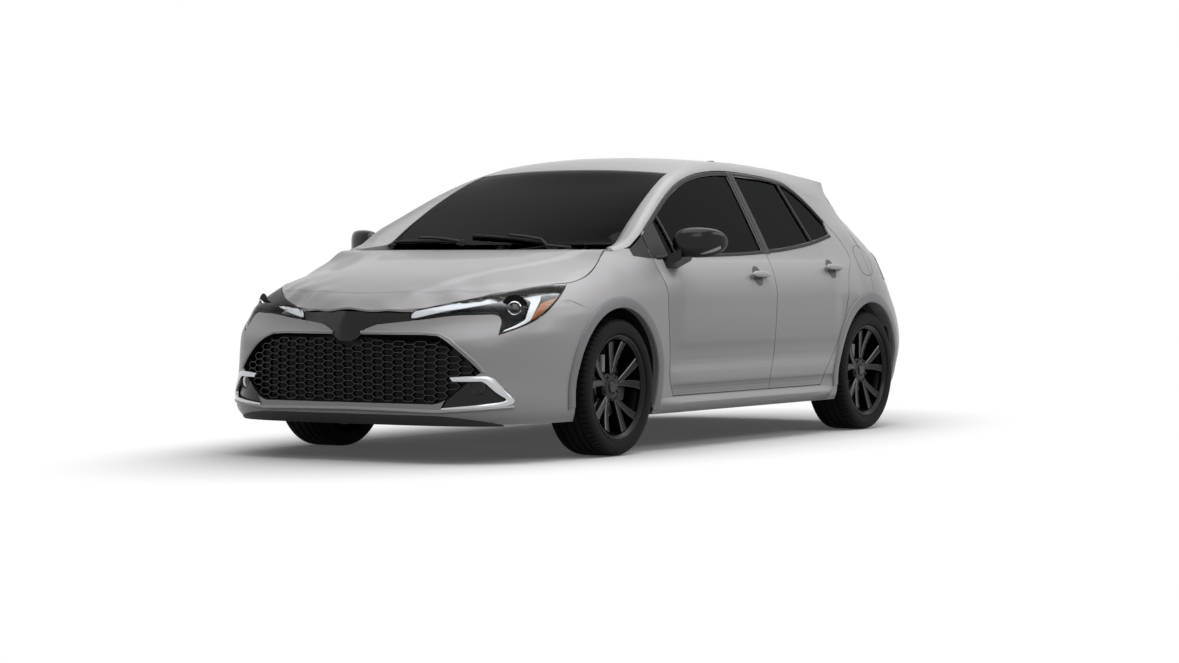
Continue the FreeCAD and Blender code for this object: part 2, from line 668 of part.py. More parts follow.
def fender_outline():
    """Front fender in side view."""
    rear = [(x + GAP, z) for x, z in DOOR_FRONT]
    top = foot_run(1119, 850, SEAT)
    rear[0] = top[-1]
    return [top, rear, [rear[-1], (711, 236)], [(711, 236), (900, 236)], [(900, 236), (1428, 300)],
            [(1428, 300), FENDER_LINE[0]], FENDER_LINE, [FENDER_LINE[-1], (1800, 830)], [(1800, 830), (1400, 960)],
            [(1400, 960), top[0]]]


def fender_piece():
    """Left front fender."""
    cs = steps(690, 1225, 12) + steps(1260, 1640, 10)
    piece = wall(cs, [z for z in WALL_Z if z < 1000], 0.0, THICK)
    piece = piece.common(prism(fender_outline(), "xz", 300, 1000))
    piece = piece.cut(hood_room())
    piece = piece.cut(slanted(LAMP, 1300, 2500, 1.0))
    piece = piece.cut(arch_cut(FRONT + 12, size("arch_front")))
    return biggest(piece)


def round_nose(zs, start, depth, first=1330.0):
    """Thick band of the nose from one side to the other."""
    cs = steps(first, 2225.0, 26)
    outer, inner = [], []
    for c in cs[:-1]:
        outer.append([skin(c, z, start) for z in zs])
        inner.append([skin(c, z, depth) for z in zs])
    middle = [[Vector(NOSE(z) - t, 0, z) for z in zs] for t in (start, depth)]
    flip = lambda rows: [[Vector(p.x, -p.y, p.z) for p in row] for row in reversed(rows)]
    return thick(outer + [middle[0]] + flip(outer), inner + [middle[1]] + flip(inner))


def round_tail(zs, start, depth, first=-1500.0):
    """Thick band of the tail from one side to the other."""
    cs = steps(first, REAR - 1000.0, 24)
    outer, inner = [], []
    for c in cs[:-1]:
        outer.append([skin(c, z, start) for z in zs])
        inner.append([skin(c, z, depth) for z in zs])
    middle = [[Vector(TAIL(z) + t, 0, z) for z in zs] for t in (start, depth)]
    flip = lambda rows: [[Vector(p.x, -p.y, p.z) for p in row] for row in reversed(rows)]
    return thick(outer + [middle[0]] + flip(outer), inner + [middle[1]] + flip(inner))


NOSE_Z = [176, 200, 230, 260, 300, 350, 400, 450, 500, 540, 580, 620, 650, 683, 720, 750]


def front_bumper_piece():
    """Front bumper with its openings."""
    piece = round_nose(NOSE_Z, 0.0, THICK)
    fender = fender_outline()
    piece = piece.cut(prism(fender, "xz", -1100, 1100, 1.0))
    piece = piece.cut(block(600, 1900, -1000, 1000, 750, 900))
    wheel = across(size("arch_front"), FRONT + 12, AXLE_Z, -1000, 1000)
    piece = piece.cut(wheel)
    piece = piece.cut(prism(GRILLE, "yz", 1500, 2400))
    piece = piece.cut(prism(GARNISH, "yz", 1500, 2400, .5))
    piece = piece.cut(hood_room()).cut(block(1900, 2400, -310, 310, 640, 900))
    for lamp in (slanted(LAMP, 1300, 2500, 1.0), slanted(FOG, 1500, 2500)):
        piece = piece.cut(lamp).cut(mirrored(lamp))
    return biggest(piece)


def rear_bumper_piece():
    """Rear bumper below the quarters, the lamps and the hatch."""
    zs = [185, 210, 240, 280, 330, 390, 450, 510, 560, 610, 650, 690, 730, 770, 806]
    piece = round_tail(zs, 0.0, THICK)
    quarter_side = [[(x, z - 1.5 if z > 300 else z) for x, z in run] for run in quarter_limit()]
    piece = piece.cut(prism(quarter_limit(), "xz", -1100, 1100, .3))
    piece = piece.cut(prism(HATCH_RUNS, "yz", -2300, -1400, GAP))
    wheel = across(size("arch_rear"), REAR, AXLE_Z, -1000, 1000)
    return biggest(piece.cut(wheel))


def hatch_piece():
    """Hatch: frame round the rear window, the lower panel and the header under the spoiler."""
    zs = [640, 660, 690, 720, 760, 800, 850, 900, 950, 977, 1010, 1061, 1100, 1145, 1190, 1230, 1270, 1300, 1320, 1340]
    piece = round_tail(zs, 0.0, 45.0, -1330.0)
    before = closed([(-1000, 500), (-1000, 1500), (-1470, 1500), (-1470, 1330), (-1463, 1301), (-1454, 1274),
                     (-1446, 1215), (-1446, 500)])
    piece = piece.common(prism(HATCH_RUNS, "yz", -2300, -1400))
    piece = piece.cut(prism(WINDOW_RUNS, "yz", -2300, -1300))
    piece = piece.cut(thick(spoiler_rows(-80, 0), spoiler_rows(SEAT, 1)))
    header = thick(spoiler_rows(SEAT, 1, 30), spoiler_rows(26, 1, 30))
    header = header.common(block(-1835, -1400, -535, 535, 1100, 1400))
    return biggest(piece.fuse(header).cut(prism(before, "xz", -1000, 1000)))


def hatch_glass_piece():
    """Rear window pane set in the hatch."""
    zs = [995, 1015, 1061, 1100, 1145, 1190, 1230, 1262, 1280]
    piece = round_tail(zs, 6.0, 11.0, -1700.0)
    return biggest(piece.common(prism(WINDOW_RUNS, "yz", -2300, -1300, -SEAT)))


SPOILER = [(-1484, 490, 34, 31), (-1560, 475, 48, 42), (-1640, 452, 46, 46), (-1720, 425, 40, 50), (-1800, 390, 30, 52),
           (-1870, 340, 24, 50), (-1915, 280, 20, 44)]


def spoiler_rows(below, share, wider=0.0):
    """Rows of points across the spoiler, moved down, and by a share of its thickness."""
    across_it = [-1, -.85, -.6, -.3, 0, .3, .6, .85, 1]
    return [[Vector(x + 17 * v * v, (half + wider) * v, ROOF_LINE(x) - edge * abs(v) ** 2.2 - below - share * depth)
             for v in across_it] for x, half, depth, edge in SPOILER]


def spoiler_piece():
    """Roof spoiler at the hatch's upper edge."""
    return thick(spoiler_rows(0, 0), spoiler_rows(0, 1))


def slab_of_nose(low, high, z0, z1, near, deep):
    """Band of the nose between two heights."""
    zs = [z for z in [low - 12, low] + NOSE_Z + [high, high + 12] if low - 13 <= z <= high + 13]
    return round_nose(sorted(set(zs)), near, deep)


GRILLE_HALF = curve([(z, y) for y, z in GRILLE_LEFT] + [(z, y) for y, z in GRILLE_LOW[1:]])


def prism_chain(sections):
    """Solid through a chain of four-cornered flat sections."""
    faces = [Part.Face(Part.makePolygon(sections[0] + sections[0][:1])),
             Part.Face(Part.makePolygon(sections[-1] + sections[-1][:1]))]
    for a, b in zip(sections, sections[1:]):
        for i in range(4):
            j = (i + 1) % 4
            faces.append(Part.Face(Part.makePolygon([a[i], a[j], b[j], b[i], a[i]])))
    shell = Part.Shell(faces)
    shell.sewShape()
    solid = Part.makeSolid(Part.Shell(shell.Faces))
    if solid.Volume < 0:
        solid.reverse()
    return solid


def nose_x(y, z, depth=0.0):
    """Where the nose's wall lies at a distance from the middle plane."""
    low, high = 1400.0, 2225.0
    for unused in range(24):
        mid = (low + high) / 2
        if skin(mid, z, depth).y > abs(y):
            low = mid
        else:
            high = mid
    return skin(high, z, depth).x


def zigzag(z, rise, step, height):
    """One bar that zigzags across the grille, set back a little from the nose's face."""
    half = min(GRILLE_HALF(z), GRILLE_HALF(z + rise), GRILLE_HALF(z - height)) - 4
    count = int(half / step)
    ys = [-half] + [i * step for i in range(-count, count + 1)] + [half]
    ups = [0.0 if i % 2 else rise for i in range(-count, count + 1)]
    ups = [ups[0]] + ups + [ups[-1]]
    sections = []
    for y, up in zip(ys, ups):
        front = nose_x(y, z, 16.0)
        back = nose_x(y, z, 16.0) - 34.0
        top = z + up
        sections.append([Vector(front, y, top), Vector(back, y, top), Vector(back, y, top - height), Vector(front, y, top - height)])
    return prism_chain(sections)


def grille_piece():
    """Grille: a dark plate and rows of zigzag bars that stand before it."""
    opening = prism(GRILLE, "yz", 1500, 2400, -SEAT)
    plate = round_nose(NOSE_Z[2:13], 51.0, 62.0).common(opening)
    plate = biggest(plate.cut(prism(GARNISH, "yz", 1500, 2400, 1.0)))
    bars = [zigzag(532 - 26.0 * i, 13.0, 35.0, 5.0) for i in range(10)]
    return Part.makeCompound([plate, garnish_piece()] + bars)


def garnish_piece():
    """Gloss strip between the lamps, under the hood's edge."""
    piece = round_nose(NOSE_Z[8:15], 6.0, THICK)
    piece = piece.common(prism(GARNISH, "yz", 1500, 2400))
    for lamp in (slanted(LAMP, 1300, 2500, 1.0), mirrored(slanted(LAMP, 1300, 2500, 1.0))):
        piece = piece.cut(lamp)
    return biggest(piece.cut(block(1900, 2300, -400, 400, 668, 900)))


def lamp_housings():
    """Bowls of both headlamps, open to the front."""
    solid = wall_of_lamp(4.5 + SEAT, 150.0).common(slanted(LAMP, 1300, 2500, 1.0 - SEAT))
    hollow = wall_of_lamp(-5.0, 120.0).common(slanted(LAMP, 1300, 2500, -6.0))
    bowl = biggest(solid.cut(hollow).cut(hood_room()))
    return Part.makeCompound([bowl, mirrored(bowl)])


def wall_of_lamp(near, deep):
    """Band of the wall round the front left corner."""
    cs = steps(1400, 2110, 16)
    zs = [540, 560, 580, 600, 620, 640, 660, 683, 705, 720, 740, 760, 780, 800, 820]
    outer = [[skin(c, z, near) for z in zs] for c in cs]
    inner = [[skin(c, z, deep) for z in zs] for c in cs]
    return thick(outer, inner)


def lamp_lenses():
    """Clear covers of both headlamps."""
    lens = wall_of_lamp(1.0, 4.5).common(slanted(LAMP, 1300, 2500, -.7))
    lens = biggest(lens.cut(hood_room()))
    return Part.makeCompound([lens, mirrored(lens)])


def fog_bezels():
    """Fog lamp bezels in the bumper's lower corners."""
    cs = steps(1560, 2110, 14)
    zs = [215, 235, 260, 290, 320, 350, 380, 400, 415]
    outer = [[skin(c, z, 14.0) for z in zs] for c in cs]
    inner = [[skin(c, z, 50.0) for z in zs] for c in cs]
    bezel = thick(outer, inner).common(slanted(FOG, 1500, 2500, -SEAT))
    bezel = biggest(bezel.cut(prism(GRILLE, "yz", 1500, 2400)))
    return Part.makeCompound([bezel, mirrored(bezel)])


def tail_lamps():
    """Both tail lamps."""
    cs = steps(-2380, -1480, 20)
    zs = [800, 820, 850, 880, 910, 940, 955]
    outer = [[skin(c, z, 0.0) for z in zs] for c in cs]
    inner = [[skin(c, z, 66.0) for z in zs] for c in cs]
    lamp = biggest(thick(outer, inner).common(prism(closed(REAR_LAMP), "yz", -2300, LAMP_FRONT - SEAT, .7)))
    return Part.makeCompound([lamp, mirrored(lamp)])


# Sections of the mirror's shell as (y, front x, rear x, low z, high z), then the foot's lower and upper outlines.
MIRROR = [(872, 732, 640, 955, 1012), (888, 741, 634, 938, 1042), (918, 742, 628, 926, 1057), (962, 730, 617, 920, 1062),
          (1008, 706, 604, 921, 1060), (1046, 668, 590, 931, 1052), (1070, 628, 576, 950, 1035), (1082, 592, 566, 973, 1008)]
FOOT_OF_MIRROR = [[(655, 852), (762, 852), (756, 915), (650, 912), (655, 852)],
                  [(640, 905), (738, 912), (742, 962), (636, 962), (640, 905)]]


def mirror_piece():
    """Left outside mirror: swept-back shell on a foot that stands on the door."""
    wires = []
    for y, front, rear, low, high in MIRROR:
        cx, rx, cz, rz = (front + rear) / 2, (front - rear) / 2, (low + high) / 2, (high - low) / 2
        row = []
        for a in steps(0, 2 * pi, 29)[:-1]:
            c, s = cos(a), sin(a)
            out = (abs(c) ** 2.8 + abs(s) ** 2.8) ** (-1 / 2.8)
            row.append(Vector(cx + rx * c * out, y, cz + rz * s * out))
        section = Part.BSplineCurve()
        section.interpolate(row, True)
        wires.append(Part.Wire([section.toShape()]))
    head = Part.makeLoft(wires, True, False)
    foot = Part.makeLoft([Part.makePolygon([Vector(x, 828, z) for x, z in FOOT_OF_MIRROR[0]]),
                          Part.makePolygon([Vector(x, 925, z) for x, z in FOOT_OF_MIRROR[1]])], True, True)
    whole = head.fuse(foot)
    return biggest(whole.cut(wall(steps(560, 830, 10), [820, 840, 860, 900, 930, 960, 1000, 1060, 1100], -SEAT, 90.0)))


def plain_body(label):
    """Empty body for a sketched piece."""
    return doc.addObject("PartDesign::Body", label)


def origin_plane(body, role):
    """One of the body's own planes or axes."""
    for item in body.Origin.OriginFeatures:
        if item.Role == role:
            return item
    return None


def sketch_on(body, role, name, loops):
    """Sketch with straight-sided closed loops on a plane of the body."""
    sketch = body.newObject("Sketcher::SketchObject", name)
    sketch.AttachmentSupport = (origin_plane(body, role), [""])
    sketch.MapMode = "FlatFace"
    for loop in loops:
        for a, b in zip(loop, loop[1:] + loop[:1]):
            sketch.addGeometry(Part.LineSegment(Vector(a[0], a[1], 0), Vector(b[0], b[1], 0)), False)
    return sketch


def revolved(body, name, loops):
    """Solid of revolution about the body's y axis from (radius, y) loops."""
    sketch = sketch_on(body, "XY_Plane", name + "_profile", loops)
    turned = body.newObject("PartDesign::Revolution", name)
    turned.Profile = sketch
    turned.ReferenceAxis = (origin_plane(body, "Y_Axis"), [""])
    turned.Angle = 360.0
    return turned


def rim_profile():
    """Rim in section: barrel, flanges, spoke dish and hub, as (radius, y) with the outside at positive y."""
    r = size("rim_radius")
    w = size("rim_width") / 2
    hub = size("hub_radius")
    bore = size("centre_bore") / 2
    return [(bore, 20), (hub, 20), (hub + 8, 38), (200, 66), (207, 60), (207, -30), (218, -w + 14), (r - 6, -w + 8), (r - 6, -w),
            (r, -w), (r, -w + 5), (226, -w + 14), (226, -w + 34), (213, -22), (213, 52), (226, w - 34), (226, w - 14),
            (r, w - 5), (r, w), (r - 9, w), (r - 14, w - 8), (hub + 8, 66), (hub - 10, 60), (bore, 60)]


def spoke_windows():
    """Openings between the five twin spokes: one wide between pairs and one narrow inside a pair."""
    def ring(angle_a, angle_b, r0, r1):
        a, b = radians(angle_a), radians(angle_b)
        inset = .18
        return [(r0 * cos((a + b) / 2 - (b - a) * inset), r0 * sin((a + b) / 2 - (b - a) * inset)),
                (r1 * cos(a), r1 * sin(a)), (r1 * cos((a + b) / 2) * 1.015, r1 * sin((a + b) / 2) * 1.015),
                (r1 * cos(b), r1 * sin(b)),
                (r0 * cos((a + b) / 2 + (b - a) * inset), r0 * sin((a + b) / 2 + (b - a) * inset))]
    return [ring(37.5, 74.5, 80, 204), ring(6.5, 33.5, 90, 204)]


def rim(label, x, side):
    """Alloy rim with ten spokes in pairs."""
    body = plain_body(label)
    revolved(body, label + "_turning", [rim_profile()])
    doc.recompute()
    windows = sketch_on(body, "XZ_Plane", label + "_windows", spoke_windows())
    pocket = body.newObject("PartDesign::Pocket", label + "_pocket")
    pocket.Profile = windows
    pocket.Type = 0
    pocket.Midplane = True
    pocket.Length = 260.0
    doc.recompute()
    pattern = body.newObject("PartDesign::PolarPattern", label + "_pattern")
    pattern.Originals = [pocket]
    pattern.Axis = (origin_plane(body, "Y_Axis"), [""])
    pattern.Angle = 360.0
    pattern.Occurrences = 5
    body.Tip = pattern
    holes = sketch_on(body, "XZ_Plane", label + "_bolt_holes", [])
    for a in steps(0, 2 * pi, 6)[:-1]:
        turned = a + radians(56)
        centre = Vector(size("bolt_circle") * cos(turned), size("bolt_circle") * sin(turned), 0)
        holes.addGeometry(Part.Circle(centre, Vector(0, 0, 1), size("bolt_hole") / 2))
    drilled = body.newObject("PartDesign::Pocket", label + "_drilled")
    drilled.Profile = holes
    drilled.Midplane = True
    drilled.Length = 260.0
    body.Placement = wheel_place(x, side)
    body.Label = label
    PARTS.append(body)
    return body


def wheel_place(x, side):
    """Placement of a wheel whose outside faces away from the car."""
    turned = Rotation() if side > 0 else Rotation(Vector(0, 0, 1), 180)
    return Placement(Vector(x, side * size("half_track"), AXLE_Z), turned)


def tyre_profile():
    """Tyre in section, hollow over the rim."""
    r = size("tyre_radius")
    w = size("tyre_width") / 2
    return [(226.3, 66), (226.3, 86), (241.6, 95.4), (250, 106), (278, w), (300, 107), (r - 4, 92), (r, 60), (r, -60), (r - 4, -92), (300, -107), (278, -w),
            (250, -106), (241.6, -95.4), (226.3, -86), (226.3, -66), (240, -66), (284, -98), (306, -80), (306, 80), (284, 98), (240, 66)]


def tyre(label, x, side):
    """Tyre seated on its rim."""
    body = plain_body(label)
    revolved(body, label + "_turning", [tyre_profile()])
    body.Placement = wheel_place(x, side)
    body.Label = label
    PARTS.append(body)
    return body


def brake_profile(radius, thick_disc):
    """Brake disc with its bell and the hub that carries the rim, as (radius, y)."""
    return [(0, -30), (64, -30), (64, -10), (radius, -10), (radius, thick_disc - 10), (70, thick_disc - 10),
            (70, 19.7), (29.7, 19.7), (29.7, 40), (0, 40)]


def brake_disc(label, x, side, radius):
    """Hub and brake disc that turn with the wheel."""
    body = plain_body(label)
    revolved(body, label + "_turning", [brake_profile(radius, size("disc_thick"))])
    body.Placement = wheel_place(x, side)
    body.Label = label
    PARTS.append(body)
    return body


def boxes(label, length, width, height, corner):
    """Box bound to named sizes."""
    item = doc.addObject("Part::Box", label)
    item.setExpression("Length", "sizes." + length)
    item.setExpression("Width", "sizes." + width)
    item.setExpression("Height", "sizes." + height)
    item.Placement = Placement(corner, Rotation())
    item.Label = label
    PARTS.append(item)
    return item


def side_plate(points, y0, y1):
    """Plate with straight sides in side view, across the car from y0 to y1."""
    return prism(closed(points), "xz", y0, y1)


def floor_piece():
    """Floor tub: flat floor with a tunnel, raised rear seat pan and boot floor between the wheel housings."""
    top = size("floor_height")
    low = top - size("floor_thick")
    half = INNER - SEAT
    front = block(-700, 720, -half, half, low, top).cut(block(-470, 730, -110, 110, low - 30, top + 60))
    tunnel = block(-480, 720, -130, 130, top - 5, top + 150).cut(block(-470, 730, -110, 110, 0, top + 130))
    toe = side_plate([(720, low), (720, top), (860, 420), (885, 420), (745, low)], -half, half)
    step = block(-740, -700, -half, half, low, 330)
    pan = side_plate([(-740, 300), (-740, 330), (-1100, 330), (-1180, 520), (-1920, 520), (-1920, 490), (-1200, 490),
                      (-1120, 300)], -half, half)
    whole = front.multiFuse([tunnel, toe, step, pan])
    for well in (across(392.0 + SEAT, REAR, AXLE_Z, 592 - SEAT, 1000),
                 across(394.0 + SEAT, FRONT, AXLE_Z, 478 - SEAT, 1000)):
        whole = whole.cut(well).cut(mirrored(well))
    return biggest(whole.removeSplitter())


def housing(x, radius, y0, y1, z0):
    """Arched housing over one left wheel."""
    outer = across(radius + 4.0, x, AXLE_Z, y0, y1)
    inner = across(radius, x, AXLE_Z, y0 + 4.0, y1 + 10.0)
    return outer.cut(inner).common(block(x - 600, x + 600, 0, 1000, z0, 1200))


def wheel_housings():
    """Housings over all four wheels, the front ones with the towers that hold the struts."""
    rear = biggest(housing(REAR, 388.0, 592, 738, 440))
    panels = wall(steps(720, 1225, 10) + steps(1260, 1780, 12), [z for z in WALL_Z if z < 840], -12.0, THICK + SEAT)
    front = housing(FRONT, 390.0, 478, 850, 318)
    front = front.cut(block(FRONT - 160, FRONT + 200, 470, 490, 100, 640))
    tower = block(1110, 1236, 540, 672, 690, 792)
    room = Part.makeCylinder(46, 330, STRUT_FOOT, STRUT_WAY)
    front = biggest(front.fuse(tower).cut(room).cut(block(1100, 1250, 500, 700, 600, 709).common(
        Part.makeCylinder(46, 330, STRUT_FOOT, STRUT_WAY))))
    front = biggest(front.cut(panels))
    return Part.makeCompound([rear, mirrored(rear), front, mirrored(front)])


STRUT_FOOT = Vector(1209, 616, 440)
STRUT_TOP = Vector(1172, 607, 760)
STRUT_WAY = STRUT_TOP - STRUT_FOOT


def bulkhead_piece():
    """Bulkhead between engine room and cabin, with the cowl below the windscreen."""
    wall_part = side_plate([(860, 420), (886, 420), (930, 880), (904, 880)], -INNER + SEAT, INNER - SEAT)
    shelf = side_plate([(904, 880), (930, 880), (1024, 915), (1024, 940), (1000, 948), (890, 920)], -640, 640)
    well = across(394.0 + SEAT, FRONT, AXLE_Z, 478 - SEAT, 1000)
    return biggest(wall_part.fuse(shelf).cut(well).cut(mirrored(well)).removeSplitter())


def dashboard_piece():
    """Dashboard with its brow, the column's shroud, and the console between the seats."""
    main = side_plate([(872.5, 560), (889, 735), (889, 900), (860, 915), (760, 925), (600, 905), (560, 860), (600, 760),
                       (640, 640), (720, 560)], -735, 735)
    console = side_plate([(640, 356), (640, 600), (560, 640), (100, 560), (-300, 560), (-300, 356)], -105, 105)
    place = steering_place()
    shroud = Part.makeCylinder(38, 150, Vector(0, 0, -250))
    shroud.Placement = place
    bore = Part.makeCylinder(17.6, 260, Vector(0, 0, -290))
    bore.Placement = place
    return biggest(main.multiFuse([console, shroud]).cut(bore).removeSplitter())


def cushion(points, y0, y1):
    """Seat cushion or back with rounded edges."""
    solid = prism(points, "xz", y0, y1)
    return solid


def seat_shape(x, y, width):
    """One front seat: cushion, back and headrest in one."""
    half = width / 2
    base = [[(x + 260, 300), (x + 275, 370), (x + 240, 420)], [(x + 240, 420), (x + 60, 405), (x - 210, 380)],
            [(x - 210, 380), (x - 330, 700), (x - 395, 930)], [(x - 395, 930), (x - 430, 945), (x - 470, 930)],
            [(x - 470, 930), (x - 420, 650), (x - 330, 300)], [(x - 330, 300), (x + 260, 300)]]
    body = prism(base, "xz", y - half, y + half)
    head = prism([[(x - 415, 975), (x - 405, 1060), (x - 430, 1130)], [(x - 430, 1130), (x - 480, 1140), (x - 515, 1110)],
                  [(x - 515, 1110), (x - 500, 1040), (x - 485, 975)], [(x - 485, 975), (x - 415, 975)]], "xz", y - 130, y + 130)
    stem = block(x - 455, x - 441, y - 60, y - 46, 925, 990).fuse(block(x - 455, x - 441, y + 46, y + 60, 925, 990))
    rail = block(x - 250, x + 200, y - half + 30, y - half + 70, size("floor_height") + SEAT, 310)
    rails = rail.fuse(block(x - 250, x + 200, y + half - 70, y + half - 30, size("floor_height") + SEAT, 310))
    return biggest(body.multiFuse([head, stem, rails]).removeSplitter())


def front_seats():
    """Both front seats."""
    left = seat_shape(180, 385, 480)
    return Part.makeCompound([left, mirrored(left)])


def rear_seat():
    """Rear bench with its back and three headrests."""
    low = 330 + SEAT
    base = [[(-500, low), (-480, 400), (-520, 450)], [(-520, 450), (-700, 440), (-930, 420)],
            [(-930, 420), (-1040, 700), (-1120, 900)], [(-1120, 900), (-1150, 915), (-1190, 900)],
            [(-1190, 900), (-1150, 700), (-1060, low)], [(-1060, low), (-500, low)]]
    bench = prism(base, "xz", -590, 590)
    heads = []
    for y in (-370, 0, 370):
        heads.append(block(-1200, -1130, y - 120, y + 120, 880, 1010))
    return biggest(bench.multiFuse(heads).removeSplitter())


def load_floor():
    """Flat floor and side trims of the load space."""
    return block(-1900, -1200, -590, 590, 520 + SEAT, 545)


def steering_wheel_piece():
    """Steering wheel with its hub, spokes and column."""
    r = size("wheel_rim_radius")
    ring = Part.makeTorus(r, size("wheel_grip"))
    hub = Part.makeCylinder(62, 44, Vector(0, 0, -34))
    spokes = [Part.makeBox(r - 30, 34, 16, Vector(20, -17, -22)), Part.makeBox(r - 30, 34, 16, Vector(-r + 10, -17, -22)),
              Part.makeBox(40, r - 30, 16, Vector(-20, -r + 10, -22))]
    column = Part.makeCylinder(17, 240, Vector(0, 0, -270))
    whole = ring.multiFuse([hub, column] + spokes)
    whole.Placement = steering_place()
    return biggest(whole)


def steering_place():
    """Steering wheel's middle, its own z axis along the column towards the driver."""
    tilt = radians(size("column_tilt"))
    column = Vector(-cos(tilt), 0, sin(tilt))
    return Placement(Vector(430, 370, 835), Rotation(Vector(0, -1, 0), Vector(sin(tilt), 0, cos(tilt)), column, "ZXY"))


def subframe_piece():
    """Front subframe with its lower arms, and the rails that hold the engine room."""
    half = size("engine_wide") / 2 + SEAT
    rails = [block(902.6, 1990, side * 457.5 - 20, side * 457.5 + 20, 480, 590) for side in (1, -1)]
    rails.append(block(1960, 2000, -500, 500, 480, 590))
    rails.append(block(1040, 1420, -400, 400, 215, 265))
    rails.append(block(894, 925, -477, 477, 480, 500))
    pieces = []
    for side in (1, -1):
        y0, y1 = sorted((side * 240, side * 300))
        rails.append(block(900, 1045, y0, y1, 215, 265))
        rails.append(block(894, 925, y0, y1, 215, 500))
        y0, y1 = sorted((side * half, side * 470))
        for x in (1100, 1360):
            rails.append(block(x - 30, x + 30, y0, y1, 215, 590))
        y0, y1 = sorted((side * half, side * 738))
        rails.append(block(1215, 1262, y0, y1, 190, 217))
        pieces.append(Part.makeSphere(13 + SEAT, Vector(BALL.x, side * BALL.y, BALL.z)))
    whole = rails[0].multiFuse(rails[1:])
    for cup in pieces:
        whole = whole.cut(cup)
    return biggest(whole.removeSplitter())


BALL = Vector(1237.3, 721.6, 217)


def knuckle_piece():
    """Left front knuckle with its caliper, strut, steering arm and lower ball."""
    body = Part.makeCylinder(52, 735 - SEAT - 670, Vector(FRONT, 670, AXLE_Z), Vector(0, 1, 0))
    upright = block(FRONT - 28, FRONT + 28, 672, 728, 236, AXLE_Z + 150)
    ball = Part.makeSphere(13, BALL).fuse(Part.makeCylinder(8, 26, BALL, Vector(-.12, -.21, 1)))
    bridge = block(FRONT - 45, FRONT + 12, 600, 700, AXLE_Z + 105, AXLE_Z + 150)
    strut = Part.makeCylinder(24, STRUT_WAY.Length, STRUT_FOOT, STRUT_WAY)
    arm = block(FRONT - 130, FRONT - 20, 672, 700, AXLE_Z - 60, AXLE_Z - 30)
    ring = across(170, FRONT, AXLE_Z, 718, 796).cut(across(100, FRONT, AXLE_Z, 700, 800))
    ring = ring.cut(across(156, FRONT, AXLE_Z, 750, 784))
    caliper = ring.common(block(FRONT - 180, FRONT - 90, 690, 800, AXLE_Z - 66, AXLE_Z + 66))
    carrier = block(FRONT - 118, FRONT - 20, 690, 730, AXLE_Z - 30, AXLE_Z + 30)
    return biggest(body.multiFuse([upright, ball, strut, arm, caliper, bridge, carrier]).removeSplitter())


def rear_axle_piece():
    """Rear twist beam with trailing arms and stub axles."""
    beam = block(-1230, -1170, -560, 560, 225, 285)
    pieces = []
    for side in (1, -1):
        y0, y1 = sorted((side * 530, side * 585))
        pieces.append(block(-1440, -1000, y0, y1, 232, 299.7))
        pieces.append(block(-1450, -1380, y0, y1, 240, 370))
        pieces.append(Part.makeCylinder(45, 734.7 - 560, Vector(REAR, side * 560, AXLE_Z), Vector(0, side, 0)))
    return biggest(beam.multiFuse(pieces).removeSplitter())


def exhaust_piece():
    """Exhaust pipe with its silencer."""
    run = Part.Wire([Part.makePolygon([Vector(1000, 0, 186), Vector(780, 0, 148), Vector(-1300, 0, 148)]).Edges[0],
                     Part.makePolygon([Vector(780, 0, 148), Vector(-1300, 0, 148)]).Edges[0],
                     Part.makePolygon([Vector(-1300, 0, 148), Vector(-1640, 0, 300)]).Edges[0]])
    pieces = [Part.makeCylinder(27, (b - a).Length, a, b - a) for a, b in zip([v.Point for v in run.Vertexes],
                                                                              [v.Point for v in run.Vertexes][1:])]
    pieces += [Part.makeSphere(27, v.Point) for v in run.Vertexes[1:3]]
    pieces.append(block(-1900, -1620, -330, 330, 240, 489.7))
    return biggest(pieces[0].multiFuse(pieces[1:]).removeSplitter())


def antenna_piece():
    """Small fin on the roof."""
    top = ROOF_LINE(-1220)
    fin = prism([[(-1130, top - 10), (-1180, top + 22), (-1240, top + 55)], [(-1240, top + 55), (-1262, top + 50)],
                 [(-1262, top + 50), (-1275, top - 14)], [(-1275, top - 14), (-1130, top - 10)]], "xz", -17, 17)
    return biggest(fin.cut(roof_piece()))


def wipers_piece():
    """Two wiper arms on the cowl."""
    arms = []
    for y0, y1 in ((430, -130), (-150, -600)):
        arms.append(Part.makeCylinder(6, abs(y1 - y0), Vector(1012, max(y0, y1), 950.5), Vector(0, -1, 0)))
    return Part.makeCompound(arms)


